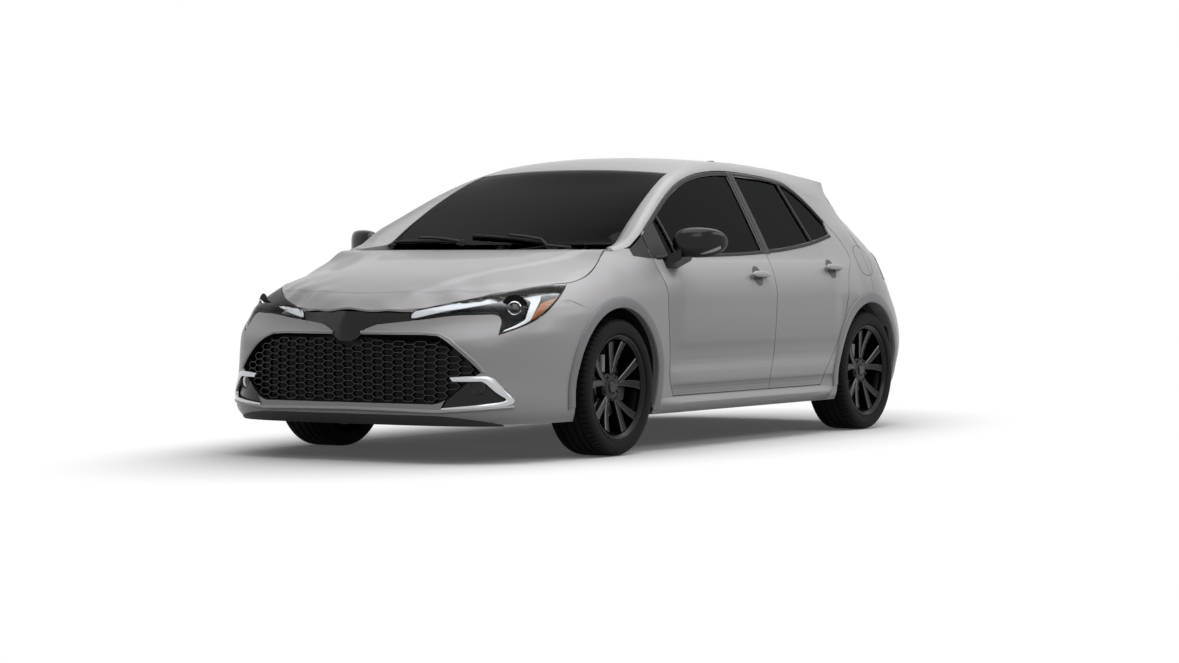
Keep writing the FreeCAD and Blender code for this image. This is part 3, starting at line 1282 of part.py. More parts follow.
def build():
    """Every piece of the car."""
    side = body_side()
    node("body_side_left", side)
    node("body_side_right", mirrored(side))
    rail = rail_piece()
    node("roof_rails", Part.makeCompound([rail, mirrored(rail)]))
    node("roof_panel", roof_piece())
    node("windscreen", windscreen_piece())
    node("hood", hood_piece())
    wing = fender_piece()
    node("fenders", Part.makeCompound([wing, mirrored(wing)]))
    node("front_bumper", front_bumper_piece())
    node("grille", grille_piece())
    node("fog_bezels", fog_bezels())
    node("headlamp_bowls", lamp_housings())
    node("headlamp_lenses", lamp_lenses())
    node("rear_bumper", rear_bumper_piece())
    node("tail_lamps", tail_lamps())
    node("hatch", hatch_piece())
    node("hatch_glass", hatch_glass_piece())
    node("spoiler", spoiler_piece())
    for name, outline, opening in (("front", front_door_outline(), front_glass_outline()),
                                   ("rear", rear_door_outline(), rear_glass_outline())):
        leaf = door(outline, opening)
        glass = pane(opening)
        node("door_%s_left" % name, leaf)
        node("door_%s_right" % name, mirrored(leaf))
        node("glass_%s_left" % name, glass)
        node("glass_%s_right" % name, mirrored(glass))
    mirror_head = mirror_piece()
    node("mirror_left", mirror_head)
    node("mirror_right", mirrored(mirror_head))
    node("floor", floor_piece())
    node("wheel_housings", wheel_housings())
    node("bulkhead", bulkhead_piece())
    node("dashboard", dashboard_piece())
    node("front_seats", front_seats())
    node("rear_seat", rear_seat())
    node("load_floor", load_floor())
    node("steering_wheel", steering_wheel_piece())
    boxes("engine", "engine_long", "engine_wide", "engine_high", Vector(1180, -390, 300))
    boxes("fuel_tank", "tank_long", "tank_wide", "tank_high", Vector(-1165, -450, 189.7))
    node("subframe", subframe_piece())
    knuckle = knuckle_piece()
    node("knuckle_left", knuckle)
    node("knuckle_right", mirrored(knuckle))
    node("rear_axle", rear_axle_piece())
    node("exhaust", exhaust_piece())
    node("antenna", antenna_piece())
    node("wipers", wipers_piece())
    for name, x, side in (("front_left", FRONT, 1), ("front_right", FRONT, -1), ("rear_left", REAR, 1), ("rear_right", REAR, -1)):
        rim("rim_" + name, x, side)
        tyre("tyre_" + name, x, side)
        radius = size("disc_radius_front") - (0 if x > 0 else 10)
        brake_disc("brake_disc_" + name, x, side, radius)


build()
doc.recompute()
os.makedirs("parts", exist_ok=True)
for item in doc.Objects:
    if "Invalid" in item.State or "Error" in item.State:
        raise ValueError(item.Name)
for item in PARTS:
    if item.Shape.isNull() or not item.Shape.isValid():
        raise ValueError(item.Label)
    item.Shape.exportStep("parts/%s.step" % item.Label)
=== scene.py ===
import bmesh
import bpy
from math import cos, pi, radians, sin, sqrt
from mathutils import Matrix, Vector
from mathutils.bvhtree import BVHTree


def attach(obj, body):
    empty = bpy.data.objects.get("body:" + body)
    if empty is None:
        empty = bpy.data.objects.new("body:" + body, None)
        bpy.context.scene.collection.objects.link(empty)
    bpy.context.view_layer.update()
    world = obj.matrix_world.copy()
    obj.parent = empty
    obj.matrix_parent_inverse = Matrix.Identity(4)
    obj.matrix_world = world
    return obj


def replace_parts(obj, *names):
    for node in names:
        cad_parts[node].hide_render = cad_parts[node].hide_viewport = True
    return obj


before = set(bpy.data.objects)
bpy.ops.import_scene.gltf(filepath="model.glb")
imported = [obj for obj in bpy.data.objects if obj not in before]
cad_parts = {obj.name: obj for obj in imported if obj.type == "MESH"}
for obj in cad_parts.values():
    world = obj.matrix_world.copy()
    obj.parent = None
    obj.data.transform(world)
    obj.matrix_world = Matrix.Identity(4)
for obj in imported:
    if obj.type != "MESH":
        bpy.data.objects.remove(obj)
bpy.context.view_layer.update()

# Finishes. Colours are sRGB hex values; sizes of grain and weave are real, in millimetres.


def linear(hex_colour, alpha=1.0):
    """Linear colour of an sRGB hex value."""
    out = []
    for i in (1, 3, 5):
        v = int(hex_colour[i:i + 2], 16) / 255.0
        out.append(v / 12.92 if v <= .04045 else ((v + .055) / 1.055) ** 2.4)
    return (*out, alpha)


def add(tree, kind, settings=(), **links):
    """Adds one shader node; settings go to its fields or sockets and links come from other nodes' outputs."""
    made = tree.nodes.new(kind)
    for name, value in dict(settings).items():
        if hasattr(made, name):
            setattr(made, name, value)
        else:
            made.inputs[name].default_value = value
    for name, source in links.items():
        socket = made.inputs[int(name[1:])] if name[0] == "i" and name[1:].isdigit() else made.inputs[name]
        tree.links.new(source, socket)
    return made


def finish_of(name, base, metallic=0.0, roughness=.5, **more):
    """Material with one principled shader; more are its other socket values."""
    made = bpy.data.materials.new(name)
    made.use_nodes = True
    shader = made.node_tree.nodes["Principled BSDF"]
    settings = {"Base Color": linear(base), "Metallic": metallic, "Roughness": roughness}
    settings.update(more)
    for key, value in settings.items():
        shader.inputs[key].default_value = value
    return made


def grain(made, millimetres, height, kind="ShaderNodeTexNoise", detail=2.0):
    """Bump of a real grain size over a material."""
    tree = made.node_tree
    shader = tree.nodes["Principled BSDF"]
    place = add(tree, "ShaderNodeTexCoord")
    settings = {"Scale": 1000.0 / millimetres}
    if kind == "ShaderNodeTexNoise":
        settings["Detail"] = detail
    pattern = add(tree, kind, settings, Vector=place.outputs["Object"])
    out = pattern.outputs["Fac"] if "Fac" in pattern.outputs else pattern.outputs["Distance"]
    bump = add(tree, "ShaderNodeBump", {"Strength": .6, "Distance": height / 1000.0}, Height=out)
    tree.links.new(bump.outputs["Normal"], shader.inputs["Normal"])
    return made


# Silver metallic enamel over pressed steel: flakes under a clear coat, light on top and darker to the side.
ENAMEL = {"Coat Weight": .3, "Coat Roughness": .05, "Coat IOR": 1.25, "Specular IOR Level": .22}
paint = finish_of("metallic_enamel_clear_coated", "#A3A1A3", .2, .42, **ENAMEL)
# The panels' shallow hollows and edges, as heights in millimetres against height above the ground.
HOLLOW = [(200, -40), (250, -45), (280, -42), (302, -36), (332, -29), (360, -30), (392, -41), (420, -47),
          (443, -45), (525, -26), (607, -12), (690, -3), (750, 1.5), (810, 3), (850, 1), (890, -4), (930, -11),
          (1000, -11)]


def raised(made, height, metres):
    """Gives a paint and its clear coat the relief of a height."""
    tree = made.node_tree
    shader = tree.nodes["Principled BSDF"]
    relief = add(tree, "ShaderNodeBump", {"Distance": metres}, Height=height.outputs[0])
    for socket in ("Normal", "Coat Normal"):
        tree.links.new(relief.outputs[0], shader.inputs[socket])
    return made


def sculpt(made):
    """Adds the side panels' hollows to a paint as relief, faded out towards both axles."""
    tree = made.node_tree
    place = add(tree, "ShaderNodeTexCoord")
    parts = add(tree, "ShaderNodeSeparateXYZ", (), Vector=place.outputs["Object"])
    height = add(tree, "ShaderNodeMapRange", {"From Min": .2, "From Max": 1.0}, Value=parts.outputs["Z"])
    form = add(tree, "ShaderNodeFloatCurve", (), Value=height.outputs[0])
    line = form.mapping.curves[0]
    low, tall, deepest, spread = 200.0, 800.0, -50.0, 60.0
    spots = [((z - low) / tall, (h - deepest) / spread) for z, h in HOLLOW]
    for spot in spots[1:-1]:
        line.points.new(*spot)
    line.points[0].location = spots[0]
    line.points[len(line.points) - 1].location = spots[-1]
    form.mapping.update()
    ends = []
    for low, high in ((.93, .62), (-1.32, -.96)):
        fade = {"From Min": low, "From Max": high, "interpolation_type": "SMOOTHSTEP"}
        ends.append(add(tree, "ShaderNodeMapRange", fade, Value=parts.outputs["X"]))
    both = add(tree, "ShaderNodeMath", {"operation": "MULTIPLY"}, i0=ends[0].outputs[0], i1=ends[1].outputs[0])
    lift = add(tree, "ShaderNodeMath", {"operation": "MULTIPLY"}, i0=both.outputs[0], i1=form.outputs[0])
    return raised(made, lift, .085)


side_paint = sculpt(finish_of("metallic_enamel_on_side_panels", "#A3A1A3", .2, .42, **ENAMEL))


def crease(made):
    """Adds the hood's raised middle, with edges from the screen's corners to the nose, and its front line."""
    tree = made.node_tree
    place = add(tree, "ShaderNodeTexCoord")
    parts = add(tree, "ShaderNodeSeparateXYZ", (), Vector=place.outputs["Object"])
    out = add(tree, "ShaderNodeMath", {"operation": "ABSOLUTE"}, i0=parts.outputs["Y"])
    edge = add(tree, "ShaderNodeMapRange", {"From Min": 1.0, "From Max": 2.1, "To Min": .6, "To Max": .21},
               Value=parts.outputs["X"])
    past = add(tree, "ShaderNodeMath", {"operation": "SUBTRACT"}, i0=out.outputs[0], i1=edge.outputs[0])
    side = add(tree, "ShaderNodeMapRange", {"From Min": .0, "From Max": .15, "To Min": 1.0, "To Max": 0.0,
                                            "interpolation_type": "SMOOTHERSTEP"}, Value=past.outputs[0])
    aside = parts.outputs["Y"]
    square = add(tree, "ShaderNodeMath", {"operation": "MULTIPLY"}, i0=aside, i1=aside)
    bow = add(tree, "ShaderNodeMath", {"operation": "MULTIPLY"}, i0=square.outputs[0])
    bow.inputs[1].default_value = .6
    ahead = add(tree, "ShaderNodeMath", {"operation": "ADD"}, i0=parts.outputs["X"], i1=bow.outputs[0])
    front = add(tree, "ShaderNodeMapRange", {"From Min": 2.04, "From Max": 2.06, "To Min": 0.0, "To Max": -.14,
                                             "interpolation_type": "SMOOTHSTEP"}, Value=ahead.outputs[0])
    both = add(tree, "ShaderNodeMath", {"operation": "ADD"}, i0=side.outputs[0], i1=front.outputs[0])
    return raised(made, both, .02)


hood_paint = crease(finish_of("metallic_enamel_on_hood", "#A3A1A3", .2, .42, **ENAMEL))
# Darker copy of the enamel for the arch bands and the plate's recess: painted shade for faces that turn from the
# light or sit in a hollow.
painted_shade_enamel = finish_of("metallic_enamel_darker_as_painted_shade", "#858387", .2, .45, **ENAMEL)
# Painted steel inside the body: the enamel without the coat's gloss, in a darker grey as painted shade for the
# inside of the body.
inner_enamel_painted_shade = finish_of("enamel_inside_body_painted_shade", "#3A3A3D", .2, .55)
grille_black = finish_of("glossy_black_abs_grille", "#101113", 0.0, .2, **{"Specular IOR Level": .7})
gloss_black = finish_of("gloss_black_abs_moulded", "#050506", 0.0, .16, **{"Specular IOR Level": .3})
satin_black = finish_of("satin_black_pp_moulded", "#0B0C0D", 0.0, .5, **{"Specular IOR Level": .25})
grained_black = grain(finish_of("grained_black_pp_moulded", "#151617", 0.0, .62), 1.4, .12)
tyre_rubber = grain(finish_of("tyre_rubber_vulcanised", "#0B0C0D", 0.0, .7, **{"Specular IOR Level": .15}),
                    2.2, .1)
alloy_black = finish_of("black_enamelled_alloy_cast", "#060607", 0.0, .28, **{"Specular IOR Level": .2})
alloy_bright = finish_of("turned_aluminium_edge", "#B8BABD", 1.0, .22)
# Lighter metal for the ribbons on the spokes' chamfers: painted highlights.
spoke_highlight_metal = finish_of("painted_highlight_metal_on_spoke_chamfers", "#6E7075", .8, .3)
iron = grain(finish_of("cast_iron_raw", "#4A4A4C", .8, .55), 1.5, .15)
steel_turned = finish_of("brake_disc_steel_ground", "#8A8B8E", 1.0, .32)
steel = finish_of("exhaust_steel_drawn", "#8F8E8A", 1.0, .35)
black_steel = finish_of("coated_steel_pressed", "#1B1C1E", .3, .5)
chrome = finish_of("vacuum_metallised_reflector", "#D9DBDE", 1.0, .08)
mirror_face = finish_of("silvered_mirror_glass", "#E2E5E8", 1.0, .02)
light_bar = finish_of("opal_polycarbonate_light_bar", "#F4F6F8", 0.0, .2,
                      **{"Emission Color": linear("#FFFFFF"), "Emission Strength": .35})
indicator_lens = finish_of("clear_acrylic_indicator_lens", "#A9ACB0", 0.0, .2)
amber = finish_of("amber_acrylic_reflector", "#D9791A", 0.0, .15)
red_lens = finish_of("red_acrylic_lens", "#A30D12", 0.0, .12, **{"Specular IOR Level": .3})
red_glow = finish_of("red_light_guide", "#C81A1E", 0.0, .3,
                     **{"Emission Color": linear("#D01418"), "Emission Strength": .3})
heater = finish_of("fired_silver_heater_line", "#5A3A2A", .5, .5)
cloth = grain(finish_of("black_woven_seat_cloth", "#1A1B1E", 0.0, .85), 1.6, .25)
leather = grain(finish_of("stitched_leather_cover", "#1B1B1D", 0.0, .5), 2.5, .15, "ShaderNodeTexVoronoi")
lining = grain(finish_of("pale_knitted_roof_lining", "#77777A", 0.0, .9), 1.5, .1)
carpet = grain(finish_of("needled_carpet", "#161617", 0.0, .95), 2.0, .5)


def clear(name, tint, roughness=.01, ior=1.5, sheen="#FFFFFF"):
    """Clear or tinted sheet: light passes straight on and the surface keeps its shine."""
    made = bpy.data.materials.new(name)
    made.use_nodes = True
    tree = made.node_tree
    tree.nodes.clear()
    through = add(tree, "ShaderNodeBsdfTransparent", {"Color": linear(tint)})
    shine = add(tree, "ShaderNodeBsdfGlossy", {"Roughness": roughness, "Color": linear(sheen)})
    share = add(tree, "ShaderNodeFresnel", {"IOR": ior})
    mix = add(tree, "ShaderNodeMixShader", (), i0=share.outputs[0], i1=through.outputs[0], i2=shine.outputs[0])
    add(tree, "ShaderNodeOutputMaterial", (), Surface=mix.outputs[0])
    return made


lamp_black = finish_of("black_pp_inside_lamp", "#040405", 0.0, .6, **{"Specular IOR Level": .1})
# Two faces of each pane tint the light twice.
tinted_glass = clear("dark_tinted_safety_glass", "#A6A9AC", .01, 1.2, "#A0A2A4")
screen_glass = clear("green_laminated_windscreen", "#A9ADAA", .01, 1.2, "#A4A6A5")
lamp_cover = clear("clear_polycarbonate_lamp_cover", "#F6F8FA", .01, 1.2, "#B0B0B0")
glass_dome = finish_of("projector_lens_glass_moulded", "#20242A", 0.0, .03, **{"Coat Weight": 1.0})

LOOKS = {
    "body_side_left": side_paint, "body_side_right": side_paint, "roof_rails": paint, "roof_panel": paint,
    "fenders": paint, "front_bumper": paint, "rear_bumper": paint, "hood": hood_paint, "hatch": paint,
    "windscreen": screen_glass, "hatch_glass": tinted_glass, "grille": gloss_black, "fog_bezels": gloss_black,
    "headlamp_bowls": lamp_black, "headlamp_lenses": lamp_cover, "tail_lamps": red_lens, "floor": inner_enamel_painted_shade,
    "wheel_housings": grained_black, "bulkhead": inner_enamel_painted_shade, "dashboard": grained_black, "front_seats": cloth,
    "rear_seat": cloth, "load_floor": carpet, "engine": iron, "fuel_tank": satin_black,
    "subframe": black_steel, "rear_axle": black_steel, "exhaust": steel, "antenna": gloss_black,
    "wipers": satin_black, "spoiler": paint, "steering_wheel": leather, "knuckle_left": iron,
    "knuckle_right": iron,
}
for side in ("left", "right"):
    LOOKS["mirror_" + side] = gloss_black
    for end in ("front", "rear"):
        LOOKS["door_%s_%s" % (end, side)] = side_paint
        LOOKS["glass_%s_%s" % (end, side)] = tinted_glass
        LOOKS["rim_%s_%s" % (end, side)] = alloy_black
        LOOKS["tyre_%s_%s" % (end, side)] = tyre_rubber
        LOOKS["brake_disc_%s_%s" % (end, side)] = steel_turned
for name, look in LOOKS.items():
    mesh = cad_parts[name].data
    mesh.materials.clear()
    mesh.materials.append(look)


# The body's outer form in millimetres, as the solids have it: short curves against height (z) or length (x).
MM = .001
HALF = 895.0
FRONT_X, REAR_X, HUB_Z, HUB_Y = 1225.0, -1415.0, 318.6, 765.0
SIDES = (("left", 1), ("right", -1))


def curve(points):
    """Smooth monotone curve through (position, value) points, level beyond its ends."""
    pts = sorted(points)
    n = len(pts)
    pos = [p[0] for p in pts]
    val = [p[1] for p in pts]
    slope = [(val[i + 1] - val[i]) / (pos[i + 1] - pos[i]) for i in range(n - 1)]
    tangent = [slope[0]] + [0.0] * (n - 2) + [slope[-1]]
    for i in range(1, n - 1):
        if slope[i - 1] * slope[i] > 0:
            before, after = pos[i] - pos[i - 1], pos[i + 1] - pos[i]
            wa, wb = 2 * after + before, after + 2 * before
            tangent[i] = (wa + wb) / (wa / slope[i - 1] + wb / slope[i])

    def at(x):
        if x <= pos[0]:
            return val[0]
        if x >= pos[-1]:
            return val[-1]
        i = 0
        while x > pos[i + 1]:
            i += 1
        span = pos[i + 1] - pos[i]
        u = (x - pos[i]) / span
        return ((1 + 2 * u) * (1 - u) ** 2 * val[i] + u * (1 - u) ** 2 * span * tangent[i]
                + u * u * (3 - 2 * u) * val[i + 1] + u * u * (u - 1) * span * tangent[i + 1])
    return at


TUCK = curve([(165, 62), (200, 44), (240, 31), (300, 25), (350, 20), (430, 9), (520, 3), (620, 0)])
SHOULDER_Z = curve([(-2200, 760), (-1415, 735), (-900, 725), (-300, 720), (840, 720), (1000, 715),
                    (1150, 705), (1437, 652), (1600, 640), (2000, 640)])
SHOULDER_BEND = curve([(-2200, .0078), (-900, .0078), (840, .0078), (1000, .0100), (1150, .0128),
                       (1437, .0130), (2000, .0130)])
WAIST = curve([(-1900, 10), (-1415, 3), (-1000, 0), (-300, 0), (500, 2), (900, 5), (1225, 6)])
NOSE = curve([(165, 2120), (200, 2150), (240, 2166), (400, 2172), (560, 2180), (620, 2181), (683, 2171),
              (720, 2125), (775, 2010), (840, 1800)])
TAIL = curve([(165, -2060), (230, -2120), (330, -2165), (450, -2183), (560, -2185), (650, -2178),
              (700, -2160), (760, -2140), (900, -2142), (977, -2112), (1061, -2040), (1145, -1970),
              (1230, -1898), (1300, -1838), (1360, -1790)])
NOSE_POWER = curve([(180, 4.4), (283, 4.2), (400, 3.7), (489, 3.5), (582, 3.35), (637, 3.0), (721, 2.75),
                    (800, 2.6)])
TAIL_POWER = curve([(190, 3.0), (290, 3.5), (414, 3.7), (490, 3.6), (615, 3.1), (690, 2.75), (813, 2.3),
                    (900, 2.15), (977, 2.1), (1300, 2.1)])
BEAK_ACROSS = curve([(0, 0), (120, .45), (300, 1.0), (500, 1.0), (600, .95), (750, .4), (830, .08), (880, 0)])
BEAK_UP = curve([(400, 0), (520, 10), (600, 60), (640, 75), (720, 75), (800, 60)])
WINDOW_TOP = [(984, 969), (857, 1032), (677, 1116), (480, 1206), (298, 1276), (153, 1315), (16, 1341),
              (-119, 1356), (-250, 1363), (-364, 1364), (-502, 1359), (-647, 1350), (-817, 1335),
              (-918, 1313), (-983, 1280), (-1053, 1229), (-1112, 1170), (-1158, 1118), (-1204, 1066)]
HEAD = curve(WINDOW_TOP)
BELT = curve([(984, 938), (834, 926), (500, 935), (0, 945), (-441, 964), (-850, 1000), (-1096, 1038),
              (-1230, 1060)])
SPLIT = curve([(262, -272), (1364, -362)])
TOP_OF_WALL = 930.0
# Stations of the wall's middle at the nose and at the tail.
NOSE_LAST, TAIL_LAST = FRONT_X + 1000, REAR_X - 1000


def half_width(x, z):
    """Outer half width of the body wall."""
    y = HALF - WAIST(x) - TUCK(z)
    start, bend = SHOULDER_Z(x), SHOULDER_BEND(x)
    if z > start:
        y -= bend * (min(z, TOP_OF_WALL) - start) ** 1.7
    if z > TOP_OF_WALL:
        lean = min(bend * 1.7 * (TOP_OF_WALL - start) ** .7, .75)
        y -= .93 * lean * (z - TOP_OF_WALL) + .00012 * (z - TOP_OF_WALL) ** 2
    return y


def turn(angle, power):
    """Unit superellipse, as (across, along)."""
    c, s = max(0.0, cos(angle)), max(0.0, sin(angle))
    r = (c ** power + s ** power) ** (-1.0 / power)
    return c * r, s * r


def skin(c, z, t=0.0):
    """Point of the wall, t inside it; c is x along the side and past the axles turns round the ends."""
    back = REAR_X + 300.0 * min(1.0, max(0.0, (z - TOP_OF_WALL) / 215.0))
    if back <= c <= FRONT_X:
        return Vector((c, half_width(c, z) - t, z))
    if c > FRONT_X:
        across, along = turn((c - FRONT_X) / 1000.0 * pi / 2, NOSE_POWER(z))
        x = FRONT_X + (NOSE(z) - FRONT_X - t) * along
        y = (half_width(min(x, 1700), z) - t) * across
        return Vector((x - BEAK_UP(z) * BEAK_ACROSS(y), y, z))
    across, along = turn((back - c) / (back - REAR_X + 1000.0) * pi / 2, TAIL_POWER(z))
    x = back - (back - TAIL(z) - t) * along
    return Vector((x, (half_width(max(x, -1900), z) - t) * across, z))


def outward(c, z):
    """Outward direction of the wall."""
    along = skin(c - 2, z) - skin(c + 2, z)
    up = skin(c, z + 2) - skin(c, z - 2)
    return along.cross(up).normalized()


def solve(value, target, low, high):
    """Position where a rising function of one number reaches the target."""
    for _ in range(36):
        middle = (low + high) / 2
        if value(middle) < target:
            low = middle
        else:
            high = middle
    return (low + high) / 2


def at_side(x, z, proud=0.0):
    """Point on the wall's side at x and z, standing proud of it, and the outward direction there."""
    c = solve(lambda c: skin(c, z).x, x, TAIL_LAST, NOSE_LAST)
    way = outward(c, z)
    return skin(c, z) + way * proud, way


def at_end(y, z, proud, low, high, way_round):
    """Point on an end of the wall between two stations, and the outward direction there."""
    c = solve(lambda c: way_round * skin(c, z).y, way_round * abs(y), low, high)
    way = outward(c, z)
    point = skin(c, z) + way * proud
    if y < 0:
        return Vector((point.x, -point.y, z)), Vector((way.x, -way.y, way.z))
    return point, way


def at_nose(y, z, proud=0.0):
    """Point on the nose at y and z, and the outward direction there."""
    return at_end(y, z, proud, FRONT_X, NOSE_LAST, -1)


def at_tail(y, z, proud=0.0):
    """Point on the tail at y and z, and the outward direction there."""
    return at_end(y, z, proud, TAIL_LAST, REAR_X + 300, 1)


LAMP_TURN = radians(33.0)


def at_lamp(s, z, proud=0.0):
    """Point on the left front corner by its distance across the lamp's own direction."""
    def seen(c):
        p = skin(c, z)
        return p.x * sin(LAMP_TURN) - p.y * cos(LAMP_TURN)
    c = solve(seen, -s, 900, NOSE_LAST)
    way = outward(c, z)
    return skin(c, z) + way * proud, way


# Making pieces. Points are in millimetres.


def piece(name, points, faces, look, body, soften=32.0, bevel=0.0, closed=False):
    """Adds a mesh piece that rides on a body; edges sharper than the soften angle stay crisp."""
    data = bpy.data.meshes.new(name)
    data.from_pydata([tuple(c * MM for c in p) for p in points], [], faces)
    data.materials.append(look)
    work = bmesh.new()
    work.from_mesh(data)
    bmesh.ops.remove_doubles(work, verts=work.verts, dist=1e-6)
    if closed:
        bmesh.ops.recalc_face_normals(work, faces=work.faces)
    for face in work.faces:
        face.smooth = True
    for edge in work.edges:
        if len(edge.link_faces) == 2 and edge.calc_face_angle(0.0) > radians(soften):
            edge.smooth = False
    work.to_mesh(data)
    work.free()
    made = bpy.data.objects.new(name, data)
    bpy.context.collection.objects.link(made)
    if bevel:
        round_off = made.modifiers.new("rounded_edges", "BEVEL")
        round_off.width = bevel * MM
        round_off.segments = 2
        round_off.limit_method = "ANGLE"
        round_off.harden_normals = True
    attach(made, body)
    return made


def other_side(points):
    """The same points on the car's right side."""
    return [(p[0], -p[1], p[2]) for p in points]


def pair(name, points, faces, look, body, **more):
    """Left piece and its mirror image; %s in the body's name takes the side."""
    left_body, right_body = (body % "left", body % "right") if "%s" in body else (body, body)
    piece(name + "_left", points, faces, look, left_body, **more)
    flipped = [tuple(reversed(f)) for f in faces]
    piece(name + "_right", other_side(points), flipped, look, right_body, **more)


def net(rows, columns, wrap_rows=False, wrap_columns=False, start=0):
    """Faces of a grid of rows by columns of points."""
    out = []
    for i in range(rows if wrap_rows else rows - 1):
        for j in range(columns if wrap_columns else columns - 1):
            a, b = i, (i + 1) % rows
            c, d = j, (j + 1) % columns
            corners = ((a, c), (a, d), (b, d), (b, c))
            out.append(tuple(start + row * columns + column for row, column in corners))
    return out


def capped(rows, columns):
    """Faces of a bar of rows of points, with its two ends closed."""
    last = (rows - 1) * columns
    ends = [tuple(range(columns)), tuple(reversed(range(last, last + columns)))]
    return net(rows, columns, False, True) + ends


def swept(path, ways, section, ring=False):
    """Points and faces of a section carried along a path; section is (across, out) pairs."""
    points = []
    count = len(path)
    for i, (p, way) in enumerate(zip(path, ways)):
        before = path[i - 1] if ring or i else path[i]
        after = path[(i + 1) % count] if ring or i < count - 1 else path[i]
        along = (Vector(after) - Vector(before)).normalized()
        across = along.cross(Vector(way)).normalized()
        points += [Vector(p) + across * a + Vector(way) * o for a, o in section]
    return points, net(count, len(section), True, True) if ring else capped(count, len(section))


def sheet_of(rows, depth):
    """Closed thin sheet from rows of (point, outward direction), with its back set in by the depth."""
    count, across = len(rows), len(rows[0])
    front = [p for row in rows for p, w in row]
    back = [p - w * depth for row in rows for p, w in row]
    total = count * across
    faces = net(count, across)
    faces += [tuple(reversed([k + total for k in f])) for f in net(count, across)]
    rim = ([i * across for i in range(count)] + [(count - 1) * across + j for j in range(1, across)]
           + [i * across + across - 1 for i in range(count - 2, -1, -1)] + list(range(across - 2, 0, -1)))
    for a, b in zip(rim, rim[1:] + rim[:1]):
        faces.append((a, b, b + total, a + total))
    return front + back, faces


def fine(run, step):
    """A run of flat points with more points between them."""
    out = []
    for a, b in zip(run, run[1:]):
        count = max(1, int(sqrt((b[0] - a[0]) ** 2 + (b[1] - a[1]) ** 2) / step))
        out += [(a[0] + (b[0] - a[0]) * i / count, a[1] + (b[1] - a[1]) * i / count) for i in range(count)]
    return out + [run[-1]]


def rounded(run, radius, steps=5):
    """A run of flat points with its inner corners rounded."""
    out = [run[0]]
    for a, b, c in zip(run, run[1:], run[2:]):
        a, b, c = Vector(a), Vector(b), Vector(c)
        la, lc = (a - b).length, (c - b).length
        reach = min(radius, la * .45, lc * .45)
        p, q = b + (a - b) / la * reach, b + (c - b) / lc * reach
        for i in range(steps + 1):
            u = i / steps
            out.append(tuple(p * (1 - u) ** 2 + b * 2 * u * (1 - u) + q * u * u))
    return out + [run[-1]]


def between(a, b, count):
    """Evenly spaced numbers from a to b."""
    return [a + (b - a) * i / (count - 1.0) for i in range(count)]


def round_angles(count):
    """Angles of evenly spaced points round a circle."""
    return [2 * pi * k / count for k in range(count)]


def strip(placed, section, ring=False):
    """A section carried along (point, outward direction) pairs."""
    return swept([p for p, w in placed], [w for p, w in placed], section, ring)


def strip_on(at, run, section, proud=0.0, step=12.0):
    """A section carried along a run of flat points, which a function places."""
    return strip([at(a, b, proud) for a, b in fine(run, step)], section)


# Tyres: four grooves round the tread, cross cuts in the shoulders, smooth sidewalls.


def tyre_points():
    """Points and faces of one tyre about the y axis, its outside at positive y."""
    grooves = (-58.0, -21.0, 21.0, 58.0)
    sidewall = [(243, -100), (250, -107), (253, -110.5), (257, -109), (263, -111), (278, -112.4), (292, -110.5),
                (303, -106), (309, -101)]
    crown = curve([(0, 318.5), (62, 318.0), (92, 314.5), (101, 309)])
    marks = [-96.0, -90.0, -80.0, -70.0]
    for g in grooves:
        marks += [g - 5.0, g - 4.2, g, g + 4.2, g + 5.0]
        if g < 58:
            marks.append(g + 19)
    marks += [70.0, 80.0, 90.0, 96.0]
    section = sidewall + [(crown(abs(y)), y) for y in sorted(marks)]
    section += [(r, -y) for r, y in reversed(sidewall)]
    groove_floor = [any(abs(y - g) < 4.5 for g in grooves) for r, y in section]
    cuts = ((0.0, False), (.16, True), (.8, True), (.96, False), (3.0, False))
    turns = [(5.0 * k + d, cut) for k in range(72) for d, cut in cuts]
    points = []
    for angle, cut in turns:
        for (r, y), low in zip(section, groove_floor):
            if low:
                r -= 7.0
            elif cut and 66 < abs(y) < 106:
                r -= 5.5 if abs(y) < 98 else 3.0
            points.append((r * cos(radians(angle)), y, r * sin(radians(angle))))
    return points, net(len(turns), len(section), True, False)


def at_wheels(name, points, faces, look, bodies, replaced="", **more):
    """The same piece at all four wheels; the right ones are turned about."""
    for end, x in (("front", FRONT_X), ("rear", REAR_X)):
        for side, k in SIDES:
            placed = [(x + k * p[0], k * (HUB_Y + p[1]), HUB_Z + p[2]) for p in points]
            made = piece("%s_%s_%s" % (name, end, side), placed, faces, look, bodies % (end, side), **more)
            if replaced:
                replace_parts(made, replaced % (end, side))


at_wheels("tyre_tread", *tyre_points(), tyre_rubber, "wheel_%s_%s", "tyre_%s_%s", soften=30)

# Wheels: a barrel with a lip and five pairs of spokes that run together at the hub.


def turned_points(section, count=96):
    """Points and faces of a closed (radius, y) section turned about the y axis."""
    points = [(r * cos(a), y, r * sin(a)) for a in round_angles(count) for r, y in section]
    return points, net(count, len(section), True, True)


# The bars run from the hub to the barrel; pairs start close together and spread outwards.
ROOT_R, TIP_R, BAR_SPAN = 44, 216, 172.0
PAIR_TURN, FIRST_PAIR = 72, 92


def spoke_form(r, pair_number, lean):
    """Direction, half width and face height of a spoke at a radius, and its share of the length there."""
    u = (r - ROOT_R) / BAR_SPAN
    angle = radians(FIRST_PAIR + PAIR_TURN * pair_number + lean * (15.5 * u ** .8 + 2.5 * (1 - u)))
    return angle, 11.0 + 9.5 * u ** .8, 64 + 26 * u ** 1.6, u


def spoke_point(r, angle, across, y):
    """Point of a spoke at a radius, across its middle line and out along the axle."""
    return r * cos(angle) - across * sin(angle), y, r * sin(angle) + across * cos(angle)


